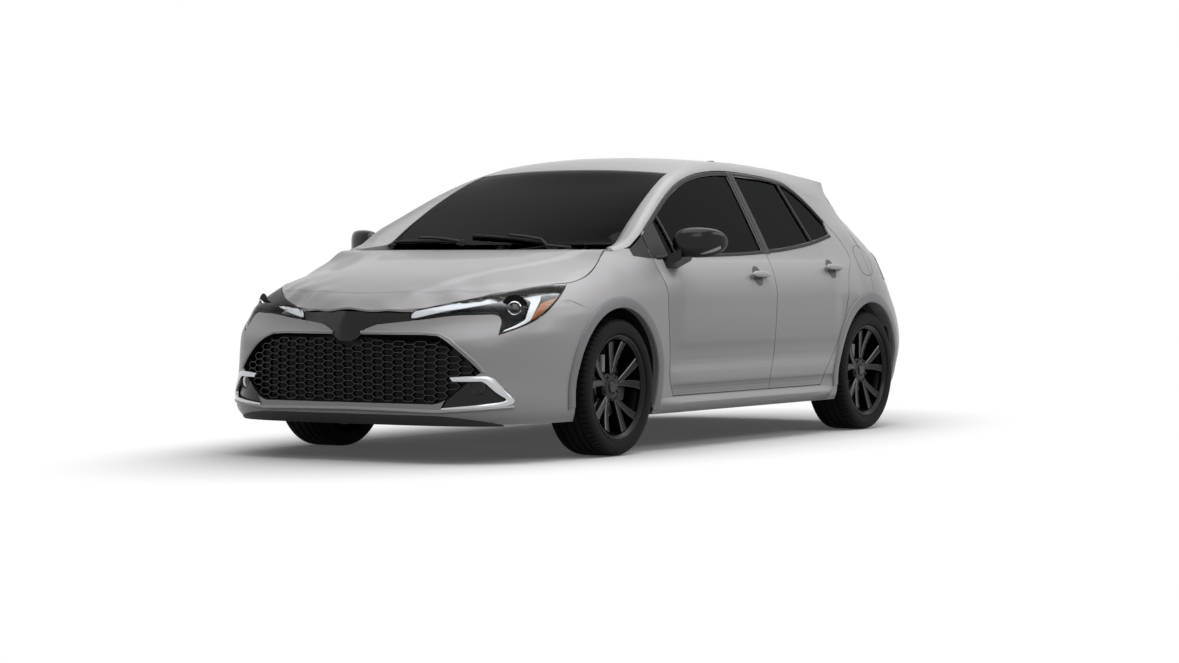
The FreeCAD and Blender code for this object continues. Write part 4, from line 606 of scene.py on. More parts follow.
def spoke_points():
    """Points and faces of the ten spokes; each is a bar with chamfered edges, wider at its tip."""
    points, faces = [], []
    radii = between(ROOT_R, TIP_R, 14)
    for k in range(5):
        for lean in (-1, 1):
            start = len(points)
            for r in radii:
                angle, width, face_y, u = spoke_form(r, k, lean)
                foot = face_y - (30 - 8 * u)
                half = [(width + 2, foot), (width, face_y - 5), (width - 3.4, face_y),
                        (width - 6, face_y - 2.2)]
                points += [spoke_point(r, angle, w, y) for w, y in [(-w, y) for w, y in half] + half[::-1]]
            faces += net(len(radii), 8, False, True, start)
    return points, faces


barrel = [(241, 102), (241, 97), (232, 90), (226, 86), (213, 50), (208, -20), (214, -80), (235, -97),
          (241, -102), (236, -100), (226, -92), (218, -70), (213, -20), (218, 52), (222, 88), (230, 97), (236, 102)]
at_wheels("wheel_barrel", *turned_points(barrel), alloy_black, "wheel_%s_%s", "rim_%s_%s", soften=28,
          closed=True)
at_wheels("wheel_spokes", *spoke_points(), alloy_black, "wheel_%s_%s", soften=20, closed=True)
hub = [(0, 30), (72, 30), (72, 52), (64, 61), (52, 64), (34, 64), (31, 58), (0, 58)]
at_wheels("wheel_hub", *turned_points(hub, 60), alloy_black, "wheel_%s_%s", soften=28, closed=True)
cap = [(0, 60), (27, 60), (29, 66), (24, 69.5), (0, 70.5)]
at_wheels("wheel_cap", *turned_points(cap, 48), gloss_black, "wheel_%s_%s", closed=True)


BOLT_RADIUS = 57.15


def nut_points():
    """Points and faces of the five hexagon wheel nuts."""
    points, faces = [], []
    rings = [(8.6, 50), (8.6, 66), (6.6, 69), (3.0, 69), (3.0, 64)]
    for k in range(5):
        a = radians(FIRST_PAIR + PAIR_TURN / 2 + PAIR_TURN * k)
        start = len(points)
        points += [(BOLT_RADIUS * cos(a) + r * cos(b), y, BOLT_RADIUS * sin(a) + r * sin(b))
                   for r, y in rings for b in round_angles(6)]
        faces += net(len(rings), 6, False, True, start)
        faces.append(tuple(start + 24 + j for j in range(6)))
    return points, faces


at_wheels("wheel_nuts", *nut_points(), black_steel, "wheel_%s_%s", soften=20)

# Trims of the doors and windows.


def strip_section(half, proud, sunk=1.5):
    """Section of a flat strip with softened edges."""
    return [(-half, -sunk), (-half, proud * .6), (-half + proud * .7, proud), (half - proud * .7, proud),
            (half, proud * .6), (half, -sunk)]


def side_strip(name, run, half, proud, look, body):
    """Flat strip on both sides along a run of (x, z) points."""
    pair(name, *strip_on(at_side, run, strip_section(half, proud), step=14.0), look, body, soften=40)


def belt_line(start, end, count):
    """Lower edge of the windows between two x."""
    return [(x, BELT(x) - 8) for x in between(start, end, count)]


def head_line(stations, drop):
    """Upper edge of the windows through some x; drop is the frame's height there."""
    return [(x, HEAD(x) - drop + 9) for x in stations]


REAR_HEAD = (-1150, -1110, -1057, -1020, -983, -950, -918, -870, -817, -700, -600, -500, -392)
side_strip("belt_strip_front", belt_line(812, -306, 14), 9, 3, satin_black, "door_front_%s")
side_strip("head_strip_front", head_line(between(-336, 812, 22), 22), 9, 1.6, satin_black, "door_front_%s")
side_strip("belt_strip_rear", belt_line(-372, -1150, 12), 9, 3, satin_black, "door_rear_%s")
side_strip("head_strip_rear", head_line(REAR_HEAD, 24), 9, 1.6, satin_black, "door_rear_%s")


def side_sheet(x_low, x_high, zs, proud, depth, columns=5):
    """Sheet over the left side between two edges given as functions of z."""
    return sheet_of([[at_side(x, z, proud) for x in between(x_low(z), x_high(z), columns)] for z in zs],
                    depth)


pillar_zs = [940, 975, 1010, 1050, 1090, 1130, 1170, 1210, 1250, 1290, 1325, 1356]
GLASS_REAR_EDGE = curve([(949, -306), (1149, -318), (1342, -336)])
GLASS_FRONT_EDGE = curve([(960, -372), (1149, -380), (1340, -392)])
pair("pillar_cover_front",
     *side_sheet(lambda z: SPLIT(z) + 3, lambda z: GLASS_REAR_EDGE(z) + 2, pillar_zs, 2.2, 3.0),
     gloss_black, "door_front_%s")
pair("pillar_cover_rear",
     *side_sheet(lambda z: GLASS_FRONT_EDGE(z) - 2, lambda z: SPLIT(z) - 3, pillar_zs, 2.2, 3.0),
     gloss_black, "door_rear_%s")
# The upright posts in the front and rear doors' windows.
side_strip("front_light_post", [(600, BELT(600)), (612, 1060), (624, HEAD(624) - 24)], 9, 1.0, satin_black,
           "door_front_%s")
side_strip("rear_light_post", [(-905, BELT(-905)), (-868, 1150), (-838, HEAD(-838) - 26)], 9, 1.0, satin_black,
           "door_rear_%s")


def sail_points(start, end):
    """Black corner piece at the front of the front door's window, or the pillar's foot before it."""
    return sheet_of([[at_side(x, z, 1.4) for z in between(BELT(x) - 12, HEAD(x) - 12, 5)]
                     for x in between(start, end, 9)], 2.6)


pair("window_corner_piece", *sail_points(690, 850), satin_black, "door_front_%s")
pair("pillar_foot_cover", *sail_points(856, 984), satin_black, "body")


def upward(way):
    """Direction up along the wall, square to its outward direction."""
    return Vector((0, -way.z, way.y)).normalized()


def handle_parts(name, x, z, body):
    """Pull handle, its two feet and the recess behind it, whose shade is painted in darker enamel."""
    half, stations, sides = 95, 17, 12
    points = []
    for u in between(-1, 1, stations):
        p, w = at_side(x + half * u, z + 2 * u)
        middle = p + w * (24 + 7 * (1 - u * u))
        high = 16.5 * sqrt(max(.02, 1 - u ** 4))
        deep = 7.0 * sqrt(max(.05, 1 - u ** 6))
        points += [middle + upward(w) * (high * sin(a)) + w * (deep * cos(a)) for a in round_angles(sides)]
    faces = capped(stations, sides)
    pair(name + "_grip", points, faces, paint, body, soften=50, closed=True)
    for tag, dx in (("front", 74), ("rear", -74)):
        p, w = at_side(x + dx, z)
        along = upward(w).cross(w)
        foot = [p + along * (13 * cos(a)) + upward(w) * (12 * sin(a)) + w * d for d in (-1.0, 22.0)
                for a in round_angles(14)]
        pair(name + "_foot_" + tag, foot, net(2, 14, False, True), paint, body, soften=50)
    # The recess is drawn as an oval of darker enamel that stands a hair proud of the door's skin: painted shade for
    # the dish behind the grip.
    points = []
    for r in (0.02, .35, .6, .8, .93, 1.0, 1.06):
        for a in between(0, 2 * pi, 37):
            p, w = at_side(x + 4 + 46 * r * cos(a), z + 47 * r * sin(a))
            points.append(p + w * (.5 if r > 1.0 else 1.2))
    pair(name + "_recess", points, net(7, 37), recess_painted_shade, body)


# Darker enamel for the handles' recesses: painted shade.
recess_painted_shade = finish_of("metallic_enamel_painted_shade_in_recess", "#4C4B4D", .5, .42)
handle_parts("handle_front", -144, 829, "door_front_%s")
handle_parts("handle_rear", -993, 864, "door_rear_%s")


def flare(x, z, radius, low_front, low_rear):
    """Raised band round a wheel arch, fading into the wall."""
    profile = [(-2, -9.0), (-1, 1.0), (1.5, 5.0), (14, 7.0), (36, 7.6), (47, 7.2), (52, 5.2), (54, -1.2)]
    angles = [radians(a) for a in between(low_front, low_rear, 49)]
    points = [at_side(x + (radius + r) * cos(a), z + (radius + r) * sin(a), proud)[0]
              for a in angles for r, proud in profile]
    return points, net(len(angles), len(profile))


# The arch bands take the darker enamel: painted shade.
pair("front_arch_band", *flare(FRONT_X + 12, HUB_Z, 368, -12, 197), painted_shade_enamel, "body", soften=40)
pair("rear_arch_band", *flare(REAR_X, HUB_Z, 366, -10, 196), painted_shade_enamel, "body", soften=40)


def skirt_points():
    """Side skirt: a ledge that faces up and out below the doors."""
    points = []
    ledge = ((258, 0), (250, 6), (238, 24), (226, 33), (214, 34), (200, 26), (186, 14), (178, 2))
    for u in between(0, 1, 40):
        x = 868 - 1880 * u
        swell = min(1.0, min(u, 1 - u) / .09) ** .7
        points += [(x, half_width(x, z) - 3 + d * swell, z) for z, d in ledge]
    return points, net(40, len(ledge))


pair("side_skirt", *skirt_points(), paint, "body", soften=40)


# Headlamps. Points are (distance across the lamp, height).


def bent(run, share):
    """Point at a share of the way along a run of flat points."""
    legs = [sqrt((b[0] - a[0]) ** 2 + (b[1] - a[1]) ** 2) for a, b in zip(run, run[1:])]
    left = share * sum(legs)
    for (a, b), leg in zip(zip(run, run[1:]), legs):
        if left <= leg or (a, b) == (run[-2], run[-1]):
            u = min(1.0, left / leg)
            return a[0] + (b[0] - a[0]) * u, a[1] + (b[1] - a[1]) * u
        left -= leg
    return run[-1]


def patch(at, first, second, proud, depth, count=30, across=4, bow=0.0):
    """Closed sheet between two runs of flat points, placed by a function of a flat point."""
    rows = []
    for u in between(0, 1, count):
        (a, b), (c, d) = bent(first, u), bent(second, u)
        rows.append([at(a + (c - a) * v, b + (d - b) * v, proud + bow * 4 * v * (1 - v))
                     for v in between(0, 1, across)])
    return sheet_of(rows, depth)


BAR_TOP = [(-885, 676), (-865, 682), (-735, 705), (-599, 730), (-470, 752), (-352, 769), (-262, 782)]
BAR_LOW = [(-890, 648), (-878, 646), (-735, 680), (-599, 704), (-470, 725), (-400, 735), (-358, 741),
           (-300, 750)]
pair("lamp_light_bar", *patch(at_lamp, BAR_TOP, BAR_LOW, -4.5, 3.5, 40, 5, 1.0), light_bar, "body")
LEG_IN = [(-380, 740), (-352, 722), (-378, 640), (-430, 614), (-472, 597)]
LEG_OUT = [(-306, 752), (-310, 726), (-355, 638), (-420, 604), (-486, 581)]
pair("lamp_light_leg", *patch(at_lamp, LEG_IN, LEG_OUT, -4.5, 3.5, 24, 5, 1.0), light_bar, "body")
pair("lamp_side_reflector",
     *patch(at_lamp, [(-306, 716), (-369, 624)], [(-226, 744), (-284, 664)], -7, 9, 12, 6, 2.0), amber, "body")
SLAT_LOW = [(-868, 640), (-714, 659), (-560, 666), (-500, 655)]
for k in range(4):
    slat = [[(x, z + edge + 6.0 * k) for x, z in SLAT_LOW] for edge in (2, 5)]
    pair("lamp_slat_%d" % k, *patch(at_lamp, *slat, -14 - 2 * k, 6, 24, 3), gloss_black, "body")


def round_lamp(at, across, up, sunk, way):
    """Maker of a lamp's round parts about one axis, each from its (radius, distance out) section."""
    centre, _ = at(across, up)
    way = Vector(way).normalized()
    side = way.cross(Vector((0, 0, 1))).normalized()
    top = side.cross(way)

    def part(section, count=32):
        points = [centre + side * (r * cos(a)) + top * (r * sin(a)) + way * (d - sunk)
                  for r, d in section for a in round_angles(count)]
        return points, net(len(section), count, False, True)
    return part


face = round_lamp(at_lamp, -428, 690, 20, (.86, .5, 0))
pair("projector_ring", *face([(31, -20), (31, 2), (28.5, 4), (26, 2), (24.5, -20)]), chrome, "body")
pair("projector_lens", *face([(25, -8), (22, 0), (16, 5), (8, 8), (.5, 9)]), glass_dome, "body")
pair("projector_back", *face([(60, -14), (33, -14), (25, -30), (.5, -34)]), lamp_black, "body")
# A dark edge runs round the lamp behind its cover.
LAMP_EDGE = [(-894, 640), (-888, 664), (-870, 681), (-735, 711), (-599, 737), (-470, 759), (-352, 777),
             (-196, 799), (-208, 766), (-233, 731), (-297, 667), (-367, 625), (-423, 603), (-494, 580),
             (-480, 626), (-492, 658), (-550, 668), (-714, 661), (-894, 641)]
pair("lamp_edge", *strip_on(at_lamp, LAMP_EDGE, [(-3, -5), (-3, 0), (3, 0), (3, -5)], -2.5, 10.0), satin_black,
     "body")

# Grille: a honeycomb of long cells in front of a dark plate, and the gloss strip above it.
GRILLE_EDGE = curve([(573, 440), (543, 508), (500, 565), (455, 615), (407, 655), (369, 604), (326, 558),
                     (285, 508), (264, 436)])


def honeycomb():
    """Walls of the cells: each cell gives its top and its two outer slanted walls."""
    points, faces = [], []
    wide, flat, high = 35.0, 19.0, 14.5

    def bar(a, b):
        for y, z in (a, b):
            if not 270 < z < 560 or abs(y) > GRILLE_EDGE(z) - 5 or z > 536 and abs(y) < 72:
                return
        start = len(points)
        along = Vector((0, b[0] - a[0], b[1] - a[1])).normalized()
        up = Vector((0, -along.z, along.y))
        for y, z in (a, b):
            front, _ = at_nose(y, z, -15.0)
            for lift, back in ((1.0, 0), (2.0, 3), (2.0, 22), (-2.0, 22), (-2.0, 3), (-1.0, 0)):
                points.append(front + up * lift - Vector((back, 0, 0)))
        for k in range(6):
            m = (k + 1) % 6
            faces.append((start + k, start + m, start + 6 + m, start + 6 + k))
    for column in range(-12, 13):
        y = column * (wide + flat)
        for row in range(-1, 11):
            z = 552 - 2 * high * row - (high if column % 2 else 0)
            bar((y - flat, z + high), (y + flat, z + high))
            for side in (-1, 1):
                bar((y + side * flat, z + high), (y + side * wide, z))
                if column % 2:
                    bar((y + side * wide, z), (y + side * flat, z - high))
    return points, faces


grille_mesh = piece("grille_mesh", *honeycomb(), grille_black, "body", soften=20, closed=True)
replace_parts(grille_mesh, "grille")
plate_rows = [[at_nose(y, z, -52.0) for y in between(-GRILLE_EDGE(z), GRILLE_EDGE(z), 41)]
              for z in between(264, 572, 20)]
piece("grille_plate", *sheet_of(plate_rows, 4), satin_black, "body")
# Rim of the opening: a dark reveal that runs back from the bumper's face to the plate.
EDGE_RUN = [(70, 573), (300, 573), (440, 573), (508, 543), (565, 500), (615, 455), (657, 407), (604, 369),
            (560, 326), (510, 285), (440, 265), (300, 262), (150, 261), (0, 261)]


def reveal():
    """Band round the grille's opening, from the face to the plate."""
    run = fine(EDGE_RUN, 20)
    run += [(-y, z) for y, z in reversed(run[:-1])]
    return [at_nose(y, z, d)[0] for y, z in run for d in (-1.0, -20.0, -54.0)], net(len(run), 3)


piece("grille_reveal", *reveal(), satin_black, "body")
RIM = [(76, 581), (366, 581), (460, 575), (520, 549), (580, 500), (633, 452), (668, 406)]
pair("grille_rim", *strip_on(at_nose, RIM, [(-8, -3), (-8, 1), (-5, 3.4), (4, 2.2), (8, -3)], step=14), paint,
     "body", soften=50)
GARNISH_TOP = [(0, 676), (120, 675), (220, 680), (296, 686)]
GARNISH_FOOT = [(0, 541), (34, 543), (60, 556), (84, 580), (112, 600), (160, 613), (230, 624), (300, 637)]


# The strip stays behind the foremost point of the solids.
NOSE_END = 2174.5


def garnish_points():
    """Gloss strip over the whole width, dipping in the middle."""
    half_top, half_low = fine(GARNISH_TOP, 12), fine(GARNISH_FOOT, 12)
    rows = []
    for u in between(-1, 1, 61):
        (a, b), (c, d) = bent(half_low, abs(u)), bent(half_top, abs(u))
        k = -1 if u < 0 else 1
        row = []
        for v in between(0, 1, 9):
            swell = -5.0 + 7.0 * sin(pi * v) * max(0.0, 1 - abs(u) * 2.2)
            p, w = at_nose(k * (a + (c - a) * v), b + (d - b) * v, swell)
            p.x = min(p.x, NOSE_END)
            row.append((p, w))
        rows.append(row)
    return sheet_of(rows, 7)


piece("nose_gloss_strip", *garnish_points(), gloss_black, "body")

# Fog lamps with their bright C-shaped trims, the blade below them and the dark lower intake edge.
TRIM_OUT = [(532, 386), (600, 391), (676, 393), (704, 381), (738, 334), (772, 286), (766, 270), (743, 257),
            (640, 247), (497, 240)]
TRIM_IN = [(545, 368), (600, 368), (660, 369), (676, 360), (712, 322), (749, 290), (746, 283), (731, 277),
           (640, 264), (497, 250)]
pair("fog_trim", *patch(at_nose, TRIM_OUT, TRIM_IN, 3.0, 12, 48, 5, 3.0), alloy_bright, "body")
fog_face = round_lamp(at_nose, 648, 345, 12, (1, .35, 0))
pair("fog_lamp_ring", *fog_face([(36, -22), (36, 0), (33, 4), (29, 2), (27, -22)]), gloss_black, "body")
pair("fog_lamp_bowl", *fog_face([(28, -4), (22, -12), (12, -17), (.5, -18)]), chrome, "body")
pair("fog_lamp_glass", *fog_face([(28, -2), (20, 1), (10, 2.5), (.5, 3)]), lamp_cover, "body")
BLADE = [(0, 236), (300, 233), (470, 229), (600, 238), (700, 246), (768, 252)]
pair("lower_blade", *strip_on(at_nose, BLADE, [(-14, -4), (-10, 4), (-3, 9), (4, 5), (12, -4)], step=16), paint,
     "body", soften=50)


def air_dam():
    """Dark lower edge under the bumper's lip, lower towards its ends."""
    def height(y):
        return 47 - 40 * max(0.0, (abs(y) - 430) / 290.0) ** 2
    return sheet_of([[at_nose(y, 169 + share * height(y), 1.5) for y in between(-720, 720, 61)]
                     for share in (0, .25, .5, .75, 1)], 3)


piece("air_dam", *air_dam(), grained_black, "body")

# Painted highlights along the spokes: thin ribbons of lighter metal on the chamfers, where the black gloss catches
# the light.


def spoke_highlight_ribbons():
    """Thin ribbons on the chamfers of the ten spokes, in lighter metal as painted highlights."""
    points, faces = [], []
    radii = between(66, 215, 14)
    for k in range(5):
        for lean in (-1, 1):
            for edge in (-1, 1):
                start = len(points)
                for r in radii:
                    angle, width, face_y, _ = spoke_form(r, k, lean)
                    points += [spoke_point(r, angle, edge * (width - inset), face_y + lift)
                               for inset, lift in ((2.0, -1.5), (3.2, .3), (3.9, .1))]
                faces += net(len(radii), 3, start=start)
    return points, faces


at_wheels("wheel_bright_edges", *spoke_highlight_ribbons(), spoke_highlight_metal, "wheel_%s_%s")

# Mirrors: indicator strip, mirror glass and the parting line.


# Front x, rear x, low z and high z of the mirror's shell against y.
MIRROR = [(872, 732, 640, 955, 1012), (888, 741, 634, 938, 1042), (918, 742, 628, 926, 1057),
          (962, 730, 617, 920, 1062), (1008, 706, 604, 921, 1060), (1046, 668, 590, 931, 1052),
          (1070, 628, 576, 950, 1035), (1082, 592, 566, 973, 1008)]
MIRROR_SIDES = [curve([(row[0], row[k]) for row in MIRROR]) for k in (1, 2, 3, 4)]


def shell_point(y, angle, proud):
    """Point on the mirror's shell."""
    front, rear, low, high = [edge(y) for edge in MIRROR_SIDES]
    c, s = cos(angle), sin(angle)
    out = (abs(c) ** 2.8 + abs(s) ** 2.8) ** (-1 / 2.8)
    rx, rz = (front - rear) / 2 + proud, (high - low) / 2 + proud
    return Vector(((front + rear) / 2 + rx * c * out, y, (low + high) / 2 + rz * s * out))


indicator = [shell_point(y, a, 1.4) for y in between(1006, 1076, 14)
             for a in between(-.8, -.8 + .06 + .3 * (y - 1006) / 70, 4)]
pair("mirror_indicator", indicator, net(14, 4), indicator_lens, "door_front_%s")
lower = [shell_point(y, a, .9) for y in between(880, 1078, 22) for a in between(-2.6, -.42, 14)]
pair("mirror_lower_shell", lower, net(22, 14), satin_black, "door_front_%s")
_, REAR_FACE, LOW_EDGE, HIGH_EDGE = MIRROR_SIDES
mirror_points = [Vector((REAR_FACE(y) - 1.5, y, z)) for y in between(892, 1058, 12)
                 for z in between(LOW_EDGE(y) + 12, HIGH_EDGE(y) - 12, 6)]
pair("mirror_glass", mirror_points, net(12, 6), mirror_face, "door_front_%s")

# Cowl and wipers.
cowl = [(x + 40 * (1 - v * v) - sweep * v * v, 690 * v, z - 3 * v * v)
        for x, z, sweep in ((985, 944, 52.2), (1000, 950, 52.2), (1012, 951, 58)) for v in between(-1, 1, 21)]
piece("cowl_screen", cowl, net(3, 21), satin_black, "body")


def tree_of(node):
    """Search tree of a CAD piece's faces, in millimetres."""
    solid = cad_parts[node]
    places = [solid.matrix_world @ v.co / MM for v in solid.data.vertices]
    return BVHTree.FromPolygons(places, [tuple(f.vertices) for f in solid.data.polygons])


screen_tree = tree_of("windscreen")


def on_screen(x, y, proud=0.0):
    """Point on the windscreen above (x, y), and its outward direction."""
    place, way, _, _ = screen_tree.ray_cast(Vector((x, y, 1700)), Vector((0, 0, -1)))
    if place is None:
        return Vector((x, y, 952 + proud)), Vector((.4, 0, .9))
    way = way if way.z > 0 else -way
    return place + way * proud, way


BLADE_SECTION = [(-2, 0), (-6, 9), (-2, 15), (2, 15), (5, 9), (2, 0)]
ARM_SECTION = [(-8, -4), (-8, 3), (-4, 7), (4, 7), (8, 3), (8, -4)]


def wiper(name, foot, tip):
    """Flat blade on the glass with its frame, and an arm from its pivot on the cowl."""
    def along(u, proud):
        return on_screen(foot[0] + (tip[0] - foot[0]) * u, foot[1] + (tip[1] - foot[1]) * u, proud)
    blade = strip([along(u, 1.5) for u in between(.1, 1, 18)], BLADE_SECTION)
    arm = strip([along(u, 14 + 14 * sin(pi * u)) for u in between(0, .6, 12)], ARM_SECTION)
    middle = on_screen(*foot)[0]
    knob = [middle + Vector((r * cos(a), r * sin(a), h)) for r, h in ((15, -6), (15, 16), (11, 24), (.5, 25))
            for a in round_angles(20)]
    for made in (piece(name + "_blade", *blade, satin_black, "body", soften=30, closed=True),
                 piece(name + "_arm", *arm, satin_black, "body", soften=30, closed=True),
                 piece(name + "_pivot", knob, net(4, 20, False, True), satin_black, "body")):
        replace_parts(made, "wipers")


wiper("wiper_driver", (996, 455), (930, -130))
wiper("wiper_passenger", (994, -150), (900, -610))

# Fuel flap: the shut line of its rounded cover, on the left only.
FLAP_X, FLAP_Z, FLAP_HALF = -1417, 908, 80


def squared(value, power):
    """A sine or cosine bent towards a rounded square."""
    return abs(value) ** power * (1 if value > 0 else -1)


flap = [at_side(FLAP_X + FLAP_HALF * squared(cos(a), .75), FLAP_Z + FLAP_HALF * squared(sin(a), .75))
        for a in round_angles(48)]
piece("fuel_flap_line", *strip(flap, [(-1.4, -1), (-1.2, .35), (1.2, .35), (1.4, -1)], True), satin_black,
      "body")

# Tail end. Points are (distance to the left, height) on the tail's skin; the lamp reaches round to the side.


def across_tail(name, first, second, proud, depth, look, count, across, bow=0.0, body="hatch"):
    """One sheet on the tail between two runs that cross the middle."""
    piece(name, *patch(at_tail, first, second, proud, depth, count, across, bow), look, body)


def mirrored(half):
    """A run over the right half of the tail and on over the left one; half starts at the middle."""
    return [(-y, z) for y, z in half[:0:-1]] + half


# A black edge borders the lamp, on the tail and round on the quarter.
LAMP_SIDE = [(-1870, 948), (-1760, 948), (-1657, 947), (-1657, 810), (-1760, 809), (-1870, 809)]
side_strip("tail_lamp_border", LAMP_SIDE, 5, 2.4, gloss_black, "body")
BORDER = [(800, 812), (700, 811), (563, 811), (568, 860), (575, 945), (700, 946)]
pair("tail_lamp_frame", *strip_on(at_tail, BORDER, strip_section(5, 2.0)), gloss_black, "body", soften=40)
GUIDES = {
    "upper": ([(590, 928), (700, 930), (790, 925)], [(588, 916), (700, 918), (788, 913)]),
    "lower": ([(584, 850), (700, 850), (792, 847)], [(582, 838), (700, 838), (790, 836)]),
}
for tag, runs in GUIDES.items():
    pair("tail_light_guide_" + tag, *patch(at_tail, *runs, 1.6, 3, 24, 4), red_glow, "body")

# Hatch: the gloss bar between the lamps, the plate's recess and its edge, and the handle.
across_tail("hatch_gloss_bar", mirrored([(0, 936), (280, 934), (560, 930)]),
            mirrored([(0, 864), (280, 866), (556, 872)]), 2.0, 3.5, gloss_black, 60, 5, 1.5)
PLATE_TOP, PLATE_LOW = 842, 700
# The plate's recess takes the darker enamel: painted shade in the recess.
across_tail("plate_recess", mirrored([(0, PLATE_TOP + 6), (300, PLATE_TOP)]),
            mirrored([(0, PLATE_LOW - 4), (272, PLATE_LOW)]), 1.2, 2.6, painted_shade_enamel, 30, 6)
half_ridge = [(0, PLATE_TOP + 14), (296, PLATE_TOP + 8), (312, PLATE_TOP - 6), (304, PLATE_LOW)]
ridge = rounded(mirrored(half_ridge), 20)
piece("plate_recess_edge", *strip_on(at_tail, ridge, [(-5, -1), (-4, 3), (3, 6), (6, 2), (7, -1)]), paint,
      "hatch", soften=50)
across_tail("hatch_handle", [(-90, 848), (90, 848)], [(-90, 832), (90, 832)], 9.0, 7.0, satin_black, 12, 4,
            2.0)

# Bumper: crease, dark lower panel with its reflectors, and fins of the diffuser.
piece("rear_bumper_crease", *strip_on(at_tail, mirrored([(0, 634), (500, 640), (760, 664)]),
                                      [(-9, -1), (-7, 2), (0, 5), (5, 2), (12, -1)]), paint, "body", soften=60)
across_tail("rear_lower_panel", mirrored([(0, 386), (300, 384), (560, 372), (640, 300)]),
            mirrored([(0, 178), (300, 178), (560, 182), (640, 190)]), 2.2, 4.0, grained_black, 60, 6, body="body")
for k, y in enumerate((-330, -165, 0, 165, 330)):
    root = [at_tail(y, z)[0] for z in (300, 260, 220, 184)]
    edge = [p + Vector((-16 + 3 * n, 0, 0)) for n, p in enumerate(root)]
    fin = [p + Vector((0, w, 0)) for w in (-4, 4) for p in root + edge[::-1]]
    piece("diffuser_fin_%d" % k, fin, capped(2, 8), grained_black, "body", soften=30, bevel=1.5, closed=True)
pair("rear_reflector", *patch(at_tail, [(480, 330), (600, 322)], [(480, 306), (596, 300)], 5.0, 4.0, 10, 3, 1.0),
     red_lens, "body")

# Rear window: heater lines on the glass, and the wiper.
glass_tree = tree_of("hatch_glass")


def on_hatch_glass(y, z, proud=0.0):
    """Point on the rear window at y and z, and the way out of it."""
    place, way, _, _ = glass_tree.ray_cast(Vector((-2600, y, z)), Vector((1, 0, 0)))
    if place is None:
        return at_tail(y, z, proud)
    way = way if way.x < 0 else -way
    return place + way * proud, way


for k in range(9):
    line = [on_hatch_glass(y, 1050 + 20 * k, .3) for y in between(-430, 430, 30)]
    piece("heater_line_%d" % k, *strip(line, [(-.5, 0), (0, .3), (.5, 0)]), heater, "hatch")
line = [on_hatch_glass(y, 1022 - .04 * y, 4.0) for y in between(10, 330, 18)]
piece("rear_wiper_blade", *strip(line, [(-2, -3), (-6, 5), (-2, 10), (2, 10), (5, 5), (2, -3)]), satin_black,
      "hatch", soften=30, closed=True)
line = [on_hatch_glass(200 * u, 1020 - 6 * u, 13 + 8 * sin(pi * u)) for u in between(0, 1, 12)]
piece("rear_wiper_arm", *strip(line, [(-9, -4), (-8, 5), (0, 8), (8, 5), (9, -4)]), satin_black, "hatch",
      soften=30, closed=True)
middle, out = on_hatch_glass(0, 1020)
knob = [middle + Vector((0, r * cos(a), r * sin(a))) + out * d
        for r, d in ((24, 0), (22, 14), (14, 22), (.5, 23)) for a in round_angles(24)]
piece("rear_wiper_cap", knob, net(4, 24, False, True), satin_black, "hatch")

# Inside: sheets of trim laid on the solids' inner faces, found by looking at them from rows of points.


def laid_on(name, node, rows, way, proud, look, body, limit):
    """Sheet laid on a solid's faces, open where the next point is missing or lies past the limit."""
    tree = tree_of(node)
    way = Vector(way).normalized()
    points, found = [], {}
    for i, row in enumerate(rows):
        for j, start in enumerate(row):
            place, normal, _, _ = tree.ray_cast(Vector(start), way)
            if place is not None and abs(normal.dot(way)) > .35:
                found[i, j] = len(points)
                points.append(place - way * proud)
    faces = []
    for i in range(len(rows) - 1):
        for j in range(len(rows[0]) - 1):
            corners = [(i, j), (i, j + 1), (i + 1, j + 1), (i + 1, j)]
            if all(c in found for c in corners):
                places = [points[found[c]] for c in corners]
                if max((a - b).length for a, b in zip(places, places[1:] + places[:1])) < limit:
                    faces.append(tuple(found[c] for c in corners))
    return piece(name, points, faces, look, body, soften=50)


for side, k in SIDES:
    for end, low, high in (("front", -255, 820), ("rear", -1120, -345)):
        door = "door_%s_%s" % (end, side)
        grid = [[(x, k * 300, z) for x in between(low, high, 45)] for z in between(262, 925, 34)]
        laid_on("door_trim_%s_%s" % (end, side), door, grid, (0, k, 0), 1.5, grained_black, door, 45.0)
roof_grid = [[(x, y, 1150) for y in between(-520, 520, 30)] for x in between(150, -1380, 44)]
laid_on("roof_lining", "roof_panel", roof_grid, (0, 0, 1), 2.0, lining, "body", 70.0)
floor_grid = [[(x, y, 460) for y in between(-640, 640, 44)] for x in between(880, -470, 44)]
laid_on("floor_carpet", "floor", floor_grid, (0, 0, -1), 2.0, carpet, "body", 60.0)

# Seats: crowned pads with side bolsters, seams along them and sewn channels across.


# The seam between a pad's middle and its bolsters, as a share of its half width.
SEAM = .62


